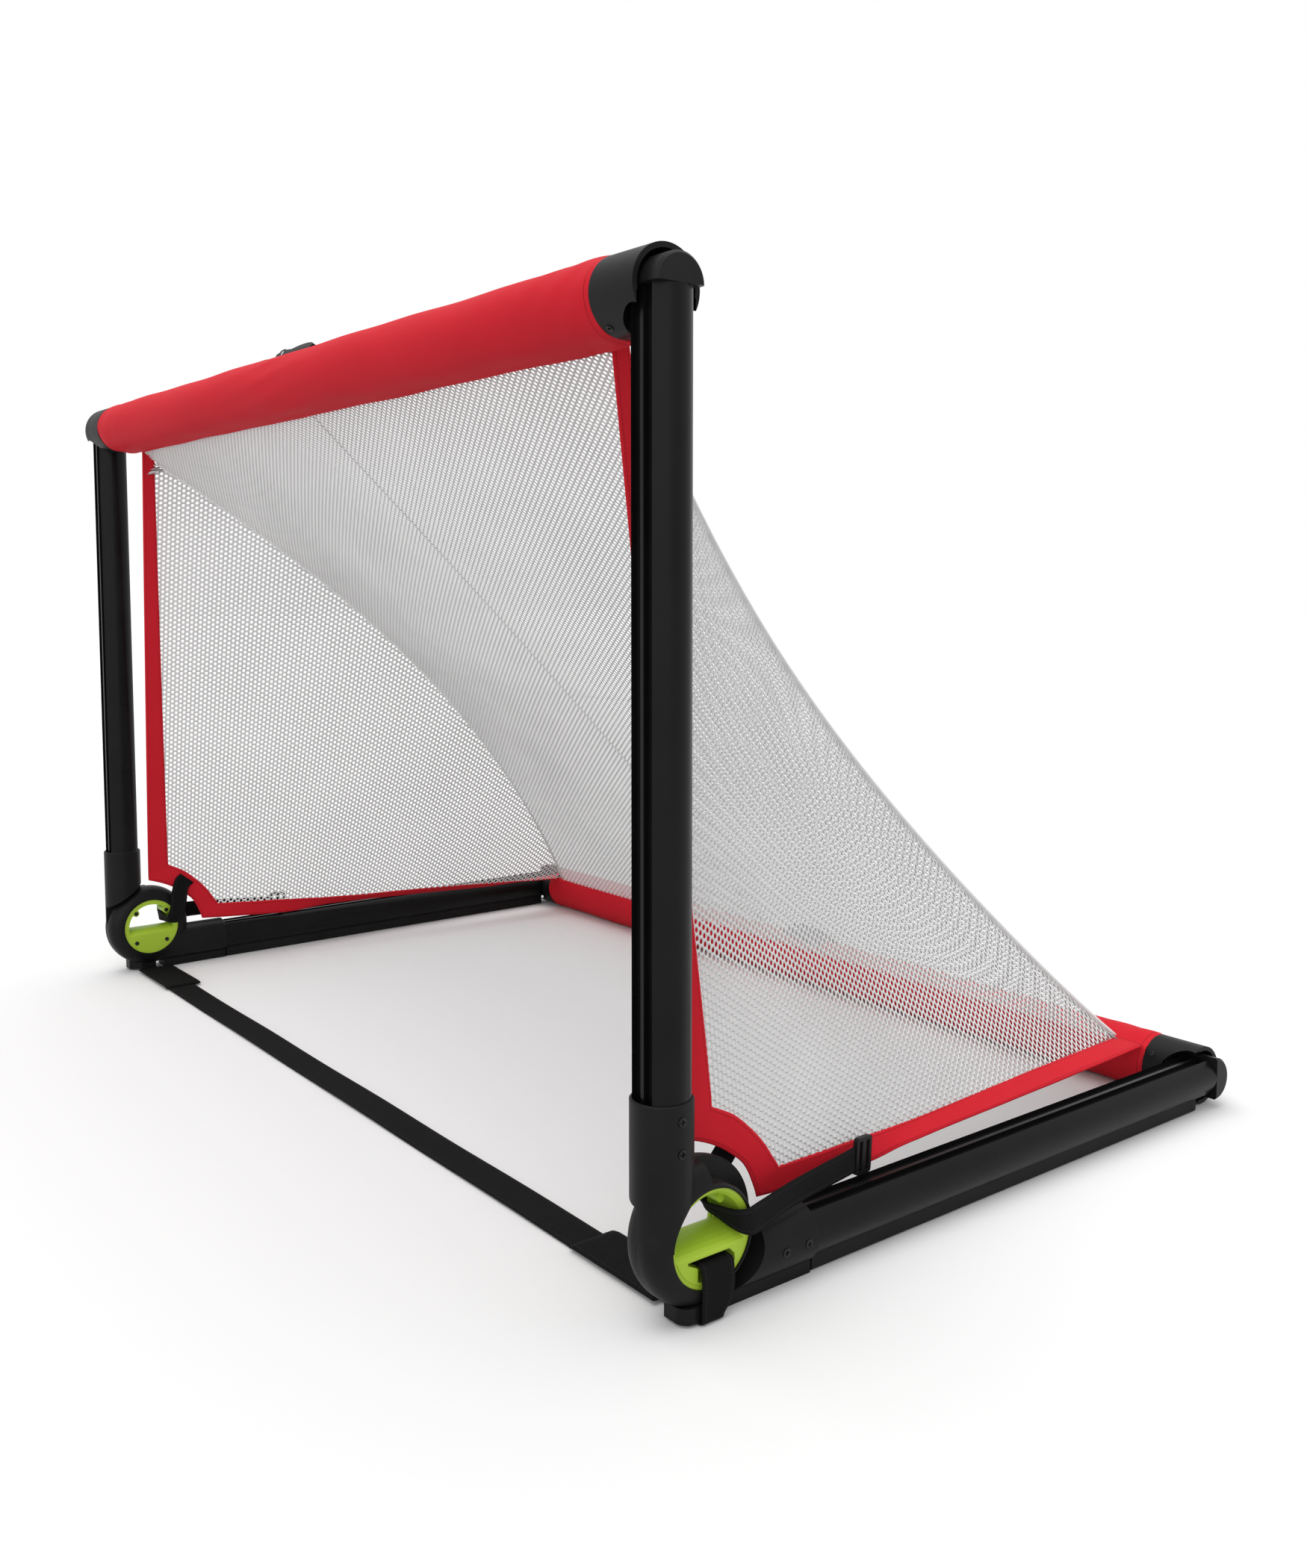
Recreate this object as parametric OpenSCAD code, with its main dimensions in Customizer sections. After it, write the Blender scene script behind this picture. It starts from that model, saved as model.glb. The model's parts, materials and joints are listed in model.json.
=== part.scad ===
// Folding, telescoping goal for street and indoor hockey.
// Two side frames, each an upright and a ground tube on one hub hinge, are
// joined by a crossbar and a rear bar that slide into themselves. The net hangs
// from the fabric sleeves of the two bars. Millimetres, +Z up, mouth towards -Y.
// Side parts are drawn for the right (+X) side and mirrored to the left.

/* [Goal] */
// Width over the outer faces of the two side frames
goal_w = 1200; // [1000:10:1400]
// Height of the crossbar's top, and depth from mouth to back
side_size = 750; // [650:10:900]
// Distance of the hub hinge from the floor and from the mouth plane
hinge_in = 60; // [58:1:70]
// Distance of the bars' axes from the goal's outer planes
bar_in = 30; // [30:1:32]

/* [Side tubes] */
// Diameter of the uprights and ground tubes
tube_d = 42; // [40:0.5:44]
// Wall of the extruded tubes
tube_wall = 1.7; // [1.5:0.1:2.5]
// Width of the channel along each tube
channel_w = 23; // [18:1:26]
// Depth of the channel's floor below the tube's round
channel_depth = 7.7; // [5:0.1:9]
// Width of the rib in the channel
rib_w = 3.5; // [2:0.5:6]
// Height of the rib in the channel
rib_h = 4; // [2:0.5:4.5]
// Width of the groove opposite the channel, which holds the glide strip
groove_w = 24; // [18:1:26]
// Distance of the groove's floor from the tube's axis
groove_r = 15.5; // [14.5:0.1:17]

/* [Crossbar and rear bar] */
// Outside diameter of the left-hand tube of each bar
bar_outer_d = 50; // [48:0.5:50]
// Outside diameter of the right-hand tube, which slides inside the other
bar_inner_d = 45.9; // [44:0.1:45.9]
// Wall of both bar tubes
bar_wall = 2; // [1.6:0.1:2]
// Outside diameter of the padded fabric sleeve
sleeve_d = 59; // [57:0.5:59]
// Overlap of the two tubes inside the bar at full width
bar_overlap = 115; // [80:5:160]

/* [Corner elbows] */
// Outside diameter of the moulded elbow
elbow_d = 58; // [56:0.5:58]
// Length of the elbow's collar inside the side tube
elbow_collar = 21; // [18:1:24]
// Wall of the hood that wraps the tube's end
hood_wall = 4; // [3:0.5:5]
// How far the hood reaches past the side tube's axis
hood_reach = 5; // [2:1:10]

/* [Hub] */
// Radius of the hub's two knuckles
knuckle_r = 53; // [50:0.5:54]
// Radius of the upright knuckle's low side, behind the hinge
knuckle_low_r = 39; // [38.5:0.5:42]
// Radius of the hinge bush's flanges
flange_r = 36; // [35.5:0.5:37]
// Radius of the bush's barrel, on which the upright turns
barrel_r = 33.5; // [32:0.5:34]
// Radius of the open bore through the bush
bush_bore_r = 31; // [29:0.5:31]
// Diameter of the arms' sockets
socket_d = 46; // [45:0.5:47]
// Distance of the sockets' rims from the hinge
socket_l = 105; // [98:1:120]
// Radial running clearance of the hinge
hinge_gap = 0.05; // [0.02:0.01:0.1]

/* [Bar locks] */
// Angle of each lock behind the bar's top
lock_angle = 28; // [20:1:35]
// Length of a lock along its bar
lock_l = 80; // [70:1:90]
// Centre of the crossbar's lock from the middle of the goal
crossbar_lock_x = -15; // [-30:1:30]
// Centre of the rear bar's lock from the middle of the goal
rear_lock_x = 18; // [-30:1:30]
// Width of the flip lever
lever_w = 16; // [12:1:20]

/* [Net and straps] */
// Thickness of the sewn fabric border
border_t = 1.6; // [1:0.1:2.5]
// Thickness of the net's solid
net_t = 1.2; // [1:0.1:2]
// Gaps of the back net across the goal
back_gaps_x = 16; // [8:1:18]
// Gaps of the back net down its slope
back_gaps_s = 10; // [6:1:10]
// Gaps of a side net along each of its straight edges
side_gaps = 10; // [6:1:10]
// How far the middle of each side net is drawn inwards at its seam
seam_in = 132; // [0:1:150]
// Width of the strap across the floor
strap_w = 34; // [25:1:40]
// Thickness of the webbing
web_t = 2; // [1.5:0.1:2.5]

/* [Hidden] */
// Smoothness of round solids
$fn = 96;
// A little more than nothing, for clean cuts
eps = 0.01;
// Gap between pieces of different bodies
gap = 0.3;

// Side frame: plane of the tubes, hinge, and the arms from hinge to bar
side_x = goal_w / 2 - tube_d / 2;
mouth_y = -side_size / 2;
hinge_y = mouth_y + hinge_in;
hinge_z = hinge_in;
arm_l = side_size - hinge_in - bar_in;
tube_r = tube_d / 2;
tube_off = hinge_in - bar_in;
socket_r = socket_d / 2;
crossbar_y = hinge_y - tube_off;
crossbar_z = hinge_z + arm_l;
rear_y = hinge_y + arm_l;
rear_z = hinge_z - tube_off;

// Bars, and the elbows' two screws on each collar
sleeve_r = sleeve_d / 2;
elbow_r = elbow_d / 2;
elbow_end = side_x - tube_r - elbow_collar - 2;
bar_seat = elbow_end + 17;
sleeve_bore_r = bar_outer_d / 2 + 0.05;
elbow_screw_in = 8;
elbow_screw_angle = 35;
elbow_screw_r = 1.6;
elbow_screw_head_r = 2.8;

// Bar locks, from the bar's axis outwards and from the lock's middle along it
lock_half = lock_l / 2;
lock_saddle_r = 28.5;
lock_saddle_half = 19;
lock_pivot_x = -lock_half + 14;
lock_pivot_r = 33;
lock_ear_t = 4;
lock_pin_r = 2.5;
lock_cheek = lever_w / 2 + 0.3;
lever_hub_r = 5.8;
cam_window = [[-lock_half + 3, -5, 15], [-lock_half + 24, 5, 30]];

// Hub, from the tube's mid plane: + is towards the outside of the goal
knuckle_gap = 0.3;
knuckle_round = 17;
flange_t = 3;
flange_face = tube_r - 2;
tube_seat = 64;
diagonal_lean = 33;
diagonal_r = 54.5;
arm_screws_at = [70, 93];
arm_screw_head_r = 3.5;
arm_screw_r = 1.9;
keel_at = 19;
cap_screw_at = 20.2;
cap_window_r = 30;
web_ridge_x = -5;
web_edge_z = -10.5;
web_rise = 8;
pocket_top = -12;
pocket_floor_x = 2.5;
strap_at = [-12, 18];
foot_t = 12;

// Net: corners and curves in distances from the hinge (y) and the floor (z)
border_x = 566;
net_top = [-20, 691];
net_rear = [636, 50];
corner_in = 54.6;
seam_gap = 0.85;
border_top_x = 514;
seam_rise = 38;
net_corner = [border_x, 25, 85];
arc_net_r = [84.5, 97];
arc_hub_r = [72, 60];
strand = 0.11;

RED = "firebrick";
BLACK = [0.12, 0.12, 0.13];
GREY = [0.35, 0.35, 0.37];
LIME = "yellowgreen";
WHITE = "whitesmoke";
STEEL = [0.6, 0.6, 0.62];

// ---------------------------------------------------------------- placement

// Right-hand piece, or its mirror image on the left
module on_side(s) {
  if (s > 0) children();
  else mirror([1, 0, 0]) children();
}

// Origin on the hinge axis, in the mid plane of the right-hand tubes
module at_hinge() translate([side_x, hinge_y, hinge_z]) children();

// Turns a piece that is drawn for the upright's upper corner to the rear corner
module to_rear() rotate([-90, 0, 0]) children();

// Origin on a bar's axis: the crossbar, or the rear bar turned like its elbow
module at_bar(rear) {
  if (rear) translate([0, rear_y, rear_z]) to_rear() children();
  else translate([0, crossbar_y, crossbar_z]) children();
}

// Origin on a bar's axis at the lock, +Z outwards through the lock. The rear lock
// is turned round on its bar, so that the levers pass each other when folded.
module at_lock(rear) {
  translate([rear ? rear_lock_x : crossbar_lock_x,
             rear ? rear_y : crossbar_y, rear ? rear_z : crossbar_z])
    rotate([-lock_angle, 0, 0]) mirror([rear ? 1 : 0, 0, 0]) children();
}

// Cylinder along +X from x0 to x1
module rod_x(r, x0, x1) translate([x0, 0, 0]) rotate([0, 90, 0]) cylinder(r = r, h = x1 - x0);

// Cylinder from the origin down to -h
module rod_down(r, h) translate([0, 0, -h]) cylinder(r = r, h = h + eps);

// Box between two corners
module block(lo, hi) translate(lo) cube(hi - lo);

// ---------------------------------------------------------------- side tubes

// Extrusion: round, a channel with a rib in front, a shallow groove behind
module tube_profile() {
  floor_y = -tube_r + channel_depth;
  difference() {
    circle(r = tube_r);
    difference() {
      translate([-channel_w / 2, -tube_r - 1]) square([channel_w, channel_depth + 1]);
      translate([-rib_w / 2, floor_y - rib_h]) square([rib_w, rib_h + 1]);
    }
    translate([-groove_w / 2, groove_r]) square([groove_w, tube_r]);
    intersection() {
      circle(r = tube_r - tube_wall);
      translate([-tube_r, floor_y + tube_wall])
        square([tube_d, groove_r - floor_y - 2 * tube_wall]);
    }
  }
}

// Screw holes through a tube's outer wall, at the arm's screws
module tube_screw_holes() {
  for (l = arm_screws_at) translate([0, 0, l]) rod_x(arm_screw_r, 0, tube_r + 1);
}

// Side tube from its seat in the arm to the bar's axis, axis on Z
module side_tube() {
  difference() {
    translate([0, 0, tube_seat]) linear_extrude(arm_l - tube_seat) tube_profile();
    tube_screw_holes();
  }
}

module upright_tube(s) color(BLACK) on_side(s) at_hinge() translate([0, -tube_off, 0]) side_tube();

module base_tube(s) color(BLACK) on_side(s) at_hinge() translate([0, 0, -tube_off]) to_rear() side_tube();

// Plastic runner pressed into the ground tube's groove: the goal slides on it
module glide_strip(s) {
  y0 = hinge_y + socket_l + 2;
  y1 = rear_y - 22;
  top = rear_z - groove_r;
  half = groove_w / 2 - 0.05;
  color(GREY) on_side(s) translate([side_x, y1, 0]) rotate([90, 0, 0])
    linear_extrude(y1 - y0) polygon([[-half + 2, 0], [half - 2, 0], [half, 2], [half, top],
                                     [-half, top], [-half, 2]]);
}

// ---------------------------------------------------------------- hub hinge

// Half of the hub: a ring with a rounded rim, on the +X side of the mid plane
module knuckle(r, grow = 0) {
  face = tube_r + grow;
  rim = r + grow;
  bend = knuckle_round * (r - flange_r) / (knuckle_r - flange_r);
  rotate([90, 0, 90]) rotate_extrude()
    polygon(concat([[0, knuckle_gap / 2 - grow], [rim, knuckle_gap / 2 - grow]],
                   [for (a = [0:10:90]) [rim - bend + bend * cos(a), face - bend + bend * sin(a)]],
                   [[0, face]]));
}

// Socket of an arm from the hinge plane to its rim, axis on Z
module socket() {
  rim = 1.2;
  rotate_extrude() polygon([[0, 0], [socket_r, 0], [socket_r, socket_l - rim],
                            [socket_r - rim, socket_l], [0, socket_l]]);
}

// Pan-head screws in the outer face of a socket, axis of the socket on Z
module arm_screws() {
  head_t = 1.6;
  for (l = arm_screws_at) translate([0, 0, l]) difference() {
    union() {
      rod_x(arm_screw_r, tube_r - 6, socket_r - 1);
      rod_x(arm_screw_head_r, socket_r - 1, socket_r - 1 + head_t);
    }
    for (a = [0, 90]) rotate([a, 0, 0])
      block([socket_r - 0.4, -0.5, -2.2], [socket_r + 1, 0.5, 2.2]);
  }
}

// What the socket's screws and tube take out of an arm
module socket_cuts() {
  translate([0, 0, tube_seat]) cylinder(r = tube_r + 0.02, h = socket_l);
  for (l = arm_screws_at) translate([0, 0, l]) {
    rod_x(arm_screw_r, 0, socket_r + 1);
    rod_x(arm_screw_head_r + 0.2, socket_r - 1, socket_r + 4);
  }
}

// Lower arm of the upright: outer half of the hub, and the upright's socket
module upright_arm(s) {
  color(BLACK) on_side(s) at_hinge() difference() {
    union() {
      difference() {
        translate([0, -tube_off, 0]) socket();
        rotate([diagonal_lean, 0, 0])
          block([-40, -200, -200], [knuckle_gap / 2, 200, diagonal_r]);
      }
      intersection() {
        knuckle(knuckle_r);
        block([0, -100, -100], [100, 0, 100]);
      }
      knuckle(knuckle_low_r);
    }
    translate([0, -tube_off, 0]) socket_cuts();
    rod_x(barrel_r + hinge_gap, -1, 60);
    rod_x(flange_r + gap, flange_face - flange_t - gap, 60);
  }
}

// Front arm of the ground tube: inner half of the hub, and the tube's socket
module base_arm(s) {
  color(BLACK) on_side(s) at_hinge() difference() {
    union() {
      difference() {
        union() {
          translate([0, 0, -tube_off]) to_rear() socket();
          // keel in line with the glide strip
          block([-groove_w / 2, keel_at, -hinge_z], [groove_w / 2, socket_l, -hinge_z + 10]);
        }
        rod_x(knuckle_r + 0.8, -knuckle_gap / 2, 60);
      }
      mirror([1, 0, 0]) knuckle(knuckle_r);
    }
    translate([0, 0, -tube_off]) to_rear() socket_cuts();
    rod_x(barrel_r, -60, 1);
    rod_x(flange_r, -60, -tube_r + 1 + flange_t);
  }
}

module upright_arm_screws(s) {
  color(STEEL) on_side(s) at_hinge() translate([0, -tube_off, 0]) arm_screws();
}

module base_arm_screws(s) {
  color(STEEL) on_side(s) at_hinge() translate([0, 0, -tube_off]) to_rear() arm_screws();
}

// Screw places of the bush, in the hinge's mid plane
module bush_screw_places() {
  for (y = [-1, 1]) for (z = [-1, 1]) translate([0, y * cap_screw_at, z * cap_screw_at]) children();
}

// Web across the lower half of the bush: an arch from the cap's face to the flange's
module bush_web() {
  in = tube_r - 1 + web_ridge_x;
  out = flange_face - web_ridge_x;
  rotate([90, 0, 0]) linear_extrude(80, center = true) polygon(concat(
    [for (a = [180:-15:0]) [web_ridge_x + (a > 90 ? in : out) * cos(a), web_edge_z + web_rise * sin(a)]],
    [[flange_face, -40], [-tube_r + 1, -40]]));
}

// Outline of the strap's pocket seen from outside, hinge axis at the origin
module pocket_outline() {
  polygon([[strap_at[0] - 9.5, pocket_top], [strap_at[1] - 1, pocket_top],
           [strap_at[1] + 4, pocket_top - 5], [strap_at[1] + 4.5, -40], [strap_at[0] - 0.5, -40],
           [strap_at[0] - 0.5, pocket_top - 6.5], [strap_at[0] - 9.5, pocket_top - 2]]);
}

// Hinge bush: flange and barrel, a window above the web and a strap pocket below
module hub_bush(s) {
  inner = -tube_r + 1 + flange_t;
  boss_r = 3.8;
  color(LIME) on_side(s) at_hinge() difference() {
    union() {
      difference() {
        union() {
          rod_x(barrel_r, inner, flange_face - flange_t);
          rod_x(flange_r, flange_face - flange_t, flange_face);
        }
        rod_x(bush_bore_r, inner - 1, flange_face + 1);
        translate([flange_face + eps, 0, 0]) rotate([0, -90, 0])
          cylinder(r1 = bush_bore_r + 2.6, r2 = bush_bore_r, h = 2.6);
      }
      intersection() {
        rod_x(barrel_r - 0.5, inner, flange_face);
        union() {
          bush_web();
          bush_screw_places() rod_x(boss_r, inner, 6);
        }
      }
    }
    intersection() {
      rod_x(bush_bore_r, pocket_floor_x, flange_face + 1);
      rotate([90, 0, 90]) linear_extrude(60) pocket_outline();
    }
    bush_screw_places() rod_x(1.6, inner - 1, pocket_floor_x - 0.5);
  }
}

// Cap of the bush on the inner side of the hub, with a half-round window
module bush_cap(s) {
  outer = -tube_r + 1 + flange_t;
  color(LIME) on_side(s) at_hinge() difference() {
    rod_x(flange_r, outer - flange_t, outer);
    difference() {
      rod_x(cap_window_r, outer - 10, outer + 1);
      bush_web();
      bush_screw_places() rod_x(4.4, -40, 0);
    }
    bush_screw_places() rod_x(1.6, -40, 0);
  }
}

module bush_screws(s) {
  face = -tube_r + 1;
  color(BLACK) on_side(s) at_hinge() bush_screw_places() difference() {
    union() {
      rod_x(1.6, face, pocket_floor_x - 1.5);
      rod_x(2.6, face - 1, face);
    }
    rod_x(1.2, face - 2, face - 0.4);
  }
}

// ---------------------------------------------------------------- floor straps

// Moulded foot between the hub and the strap that runs under it
module hub_foot(s) {
  color(BLACK) on_side(s) at_hinge() difference() {
    translate([0, 0, -hinge_z + web_t]) linear_extrude(foot_t) polygon(concat(
      [[-13, 7], [-13, -12], [-3, -25.5]],
      [for (a = [-90:15:0]) [9.5 + 10 * cos(a), -15.5 + 10 * sin(a)]], [[19.5, 7]]));
    mirror([1, 0, 0]) knuckle(knuckle_r);
    knuckle(knuckle_r, gap);
    rod_x(knuckle_r + gap, knuckle_gap / 2 - gap, 4);
    rod_x(knuckle_r, -4, knuckle_gap / 2);
    translate([0, -1, -tube_off]) to_rear() cylinder(r = socket_r + 0.1, h = tube_seat);
  }
}

// End of the webbing: under the foot, up the outside and into the bush's pocket
module strap_end(s) {
  out = socket_r + 1;
  up = pocket_top - 2 - web_t;
  bend = 4;
  path = concat(
    [[-tube_r - 2, -hinge_z]],
    [for (a = [-90:15:0]) [out - bend + bend * cos(a), -hinge_z + bend + bend * sin(a)]],
    [for (a = [0:15:90]) [out - bend + bend * cos(a), up - bend + bend * sin(a)]],
    [[flange_face - 16, up], [flange_face - 16, up - web_t]],
    [for (a = [90:-15:0]) [out - bend + (bend - web_t) * cos(a), up - bend + (bend - web_t) * sin(a)]],
    [for (a = [0:-15:-90]) [out - bend + (bend - web_t) * cos(a), -hinge_z + bend + (bend - web_t) * sin(a)]],
    [[-tube_r - 2, -hinge_z + web_t]]);
  color(BLACK) on_side(s) at_hinge() difference() {
    translate([0, strap_at[1], 0]) rotate([90, 0, 0])
      linear_extrude(strap_at[1] - strap_at[0]) polygon(path);
    // narrower on the floor, where its back edge is folded under
    rotate([90, 0, 90]) linear_extrude(100, center = true)
      polygon([[strap_at[1] - 9, -hinge_z - 1], [strap_at[1] - 9, -hinge_z + 5],
               [strap_at[1] + 1, -hinge_z + 15], [strap_at[1] + 1, -hinge_z - 1]]);
  }
}

// Stitched cuff that joins a strap end to the strap across the floor
module strap_cuff(s) {
  x0 = side_x - 129;
  x1 = side_x - tube_r - 2;
  color(BLACK) on_side(s) difference() {
    translate([0, hinge_y + 25, 0]) rotate([90, 0, 0]) linear_extrude(45)
      polygon([[x0, 0], [x1, 0], [x1, 4.6], [x0 + 6, 5], [x0, 3.4]]);
    block([x0 - 1, hinge_y - strap_w / 2, -1], [x0 + 60, hinge_y + strap_w / 2, web_t]);
  }
}

module floor_strap() {
  end = side_x - 129 + 60;
  color(BLACK) block([-end, hinge_y - strap_w / 2, 0.3], [end, hinge_y + strap_w / 2, web_t]);
}

// ---------------------------------------------------------------- corners

// Elbow on the end of a bar, for the upper corner: bar on X, side tube below
module elbow_solid(bore) {
  inner = side_x - elbow_end;
  difference() {
    translate([side_x, 0, 0]) union() {
      difference() {
        rod_x(elbow_r, -inner, hood_reach);
        // room round the end of the tube, under the hood
        rod_x(elbow_r - hood_wall, -tube_r - 1, hood_reach + 1);
        // the hood ends level with the bar behind, and in a saddle in front
        intersection() {
          translate([0, 0, -elbow_d - 5]) cylinder(r = tube_r + 5, h = elbow_d);
          block([-tube_r - 6, -elbow_d, -elbow_d], [40, elbow_d, 40]);
        }
      }
      // tenon that plugs into the top of the tube's core, inside the hood
      difference() {
        rod_x(elbow_r - hood_wall, -tube_r - 2, -tube_r + 0.5);
        translate([0, 0, -80]) cylinder(r = tube_r + 0.05, h = 80);
      }
    }
    rod_x(bore, elbow_end - 1, bar_seat);
    // side tube and its end cap
    translate([side_x, 0, 0]) {
      rod_down(tube_r + 0.02, 80);
      rod_x(tube_r + 0.02, -tube_r, 60);
    }
    elbow_screw_places() {
      rod_down(elbow_screw_r, 12);
      cylinder(r = elbow_screw_head_r + 0.2, h = 5);
    }
  }
}

// Two screws in the underside of the elbow's collar, sunk by 1 mm
module elbow_screw_places() {
  translate([elbow_end + elbow_screw_in, 0, 0]) for (a = [-1, 1])
    rotate([180 + a * elbow_screw_angle, 0, 0]) translate([0, 0, elbow_r - 1]) children();
}

module elbow(s, rear, bore) color(BLACK) on_side(s) at_bar(rear) elbow_solid(bore);

module elbow_screws(s, rear) {
  color(STEEL) on_side(s) at_bar(rear) elbow_screw_places() difference() {
    union() {
      rod_down(elbow_screw_r, 3);
      cylinder(r = elbow_screw_head_r, h = 1.6);
    }
    translate([0, 0, 0.9]) cylinder(r = 1.2, h = 2);
  }
}

// Cap that closes the side tube with an arch about the bar's axis
module end_cap(s, rear) {
  bevel = 2;
  color(GREY) on_side(s) at_bar(rear) translate([side_x, 0, 0]) intersection() {
    union() {
      rod_x(tube_r, -tube_r, tube_r - bevel);
      translate([tube_r - bevel, 0, 0]) rotate([0, 90, 0])
        cylinder(r1 = tube_r, r2 = tube_r - bevel, h = bevel);
    }
    linear_extrude(tube_r) square(tube_d, center = true);
  }
}

// ---------------------------------------------------------------- bars

// Tube of a bar between two stations on X
module bar_tube(d, x0, x1) {
  difference() {
    rod_x(d / 2, x0, x1);
    rod_x(d / 2 - bar_wall, x0 - 1, x1 + 1);
  }
}

// Left-hand tube, with the window through which the lock's cam presses
module outer_bar(rear) {
  x1 = (rear ? rear_lock_x : crossbar_lock_x) + lock_half;
  color(STEEL) difference() {
    translate([0, rear ? rear_y : crossbar_y, rear ? rear_z : crossbar_z])
      bar_tube(bar_outer_d, -bar_seat, x1);
    at_lock(rear) block(cam_window[0], cam_window[1]);
  }
}

// Right-hand tube, which slides inside the left-hand one
module inner_bar(rear) {
  x0 = (rear ? rear_lock_x : crossbar_lock_x) + lock_half - bar_overlap;
  color(STEEL) translate([0, rear ? rear_y : crossbar_y, rear ? rear_z : crossbar_z])
    bar_tube(bar_inner_d, x0, bar_seat);
}

// Padded fabric sleeve over the bar, open round the lock
module sleeve(rear) {
  color(RED) difference() {
    translate([0, rear ? rear_y : crossbar_y, rear ? rear_z : crossbar_z]) difference() {
      rod_x(sleeve_r, -elbow_end, elbow_end);
      rod_x(sleeve_bore_r, -elbow_end - 1, elbow_end + 1);
    }
    at_lock(rear) translate([0, 0, sleeve_r / 2]) linear_extrude(sleeve_r) lock_opening();
  }
}

// Outline of the sleeve's opening seen from outside the lock, mouth at -Y
module lock_opening() {
  polygon([[-lock_half - 1, -29], [lock_half, -23], [lock_half + 1, 24], [-lock_half - 1, 24]]);
}

// ---------------------------------------------------------------- bar locks

// Saddle riveted to the outer tube, with two ears that hold the lever's pin
module lock_housing(rear) {
  color(BLACK) at_lock(rear) difference() {
    union() {
      intersection() {
        rod_x(lock_saddle_r, -lock_half, lock_half);
        block([-lock_half, -lock_saddle_half, 0], [lock_half, lock_saddle_half, 40]);
      }
      for (m = [0, 1]) mirror([0, m, 0]) translate([0, lock_cheek + lock_ear_t, 0])
        rotate([90, 0, 0]) linear_extrude(lock_ear_t) lock_ear();
    }
    rod_x(bar_outer_d / 2, -60, 60);
    block(cam_window[0], cam_window[1]);
    // trough for the lever
    block([-lock_half + 3, -lock_cheek, 28], [lock_half + 1, lock_cheek, 60]);
    block([-lock_half + 3, -lock_cheek, 26], [lock_half - 10, lock_cheek, 60]);
    translate([lock_pivot_x, 0, lock_pivot_r]) rotate([90, 0, 0])
      cylinder(r = lock_pin_r, h = 60, center = true);
  }
}

// Side view of an ear: round over the pin, falling to the saddle at the lever's tip
module lock_ear() {
  polygon(concat(
    [[-lock_half, 26], [-lock_half, lock_pivot_r]],
    [for (a = [180:-15:30]) [lock_pivot_x + 8 * cos(a), lock_pivot_r + 1.5 + 3 * sin(a)]],
    [[4, 34], [lock_half - 6, 31], [lock_half, 26]]));
}

// Flip lever: thumb plate, hub on the pin and the cam nose that clamps the bar
module lock_lever(rear) {
  color(BLACK) at_lock(rear) translate([lock_pivot_x, 0, lock_pivot_r]) difference() {
    union() {
      rotate([90, 0, 0]) cylinder(r = lever_hub_r, h = lever_w, center = true);
      translate([0, lever_w / 2, 0]) rotate([90, 0, 0]) linear_extrude(lever_w) lever_plate();
      translate([0, 4, 0]) rotate([90, 0, 0]) linear_extrude(8)
        polygon([[-lever_hub_r, 0], [-3, -9.6], [3, -9.6], [lever_hub_r, 0]]);
    }
    rotate([90, 0, 0]) cylinder(r = lock_pin_r + 0.05, h = 60, center = true);
  }
}

// Side view of the lever from its pin: an arched back and an undercut thumb tip
module lever_plate() {
  polygon(concat(
    [[0, -2], [0, lever_hub_r]],
    [for (t = [0.2:0.2:1]) [44 * t, lever_hub_r + 3 * sin(110 * t)]],
    [[54, 7.5], [57, 5.5], [56, 3], [44, 1], [20, -2]]));
}

module lock_pin(rear) {
  half = lock_cheek + lock_ear_t;
  color(STEEL) at_lock(rear) translate([lock_pivot_x, half, lock_pivot_r]) rotate([90, 0, 0])
    cylinder(r = lock_pin_r, h = 2 * half);
}

// ---------------------------------------------------------------- net surfaces

// Point at a distance x to the side, y from the hinge and z from the floor
function at(x, y, z) = [x, hinge_y + y, z];

// Seam between the back net and a side net, from the crossbar (0) to the rear bar (1)
function seam(s) = at(
  border_x + 1 - corner_in - 7 * s - seam_in * pow(max(0, sin(180 * pow(s, 1.1))), 0.85),
  net_top[0] + (net_rear[0] - net_top[0]) * s,
  net_top[1] + (net_rear[1] - net_top[1]) * s + seam_rise * sin(180 * s));

// Back net: a across the goal from -1 to 1, s down the slope, sewn inside the seams
function back_point(a, s) =
  let (p = seam(s), sag = 14 * (1 - a * a) * sin(180 * s))
  [a * (p[0] - seam_gap), p[1] - sag, p[2] - sag];

// Side net: rays from the corner by the hub to the seam, drawn taut
function side_point(u, v) =
  let (r = u + v, s = r > 0 ? u / r : 0, c = at(net_corner[0], net_corner[1], net_corner[2]),
       q = c + (seam(s) - c) * r, bow = seam_in * pow(max(0, sin(180 * s)), 0.85) * (r - pow(r, 1.5)))
  [q[0] + bow, q[1], q[2]];

// ---------------------------------------------------------------- thin solids

function unit(v) = v / norm(v);

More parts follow.
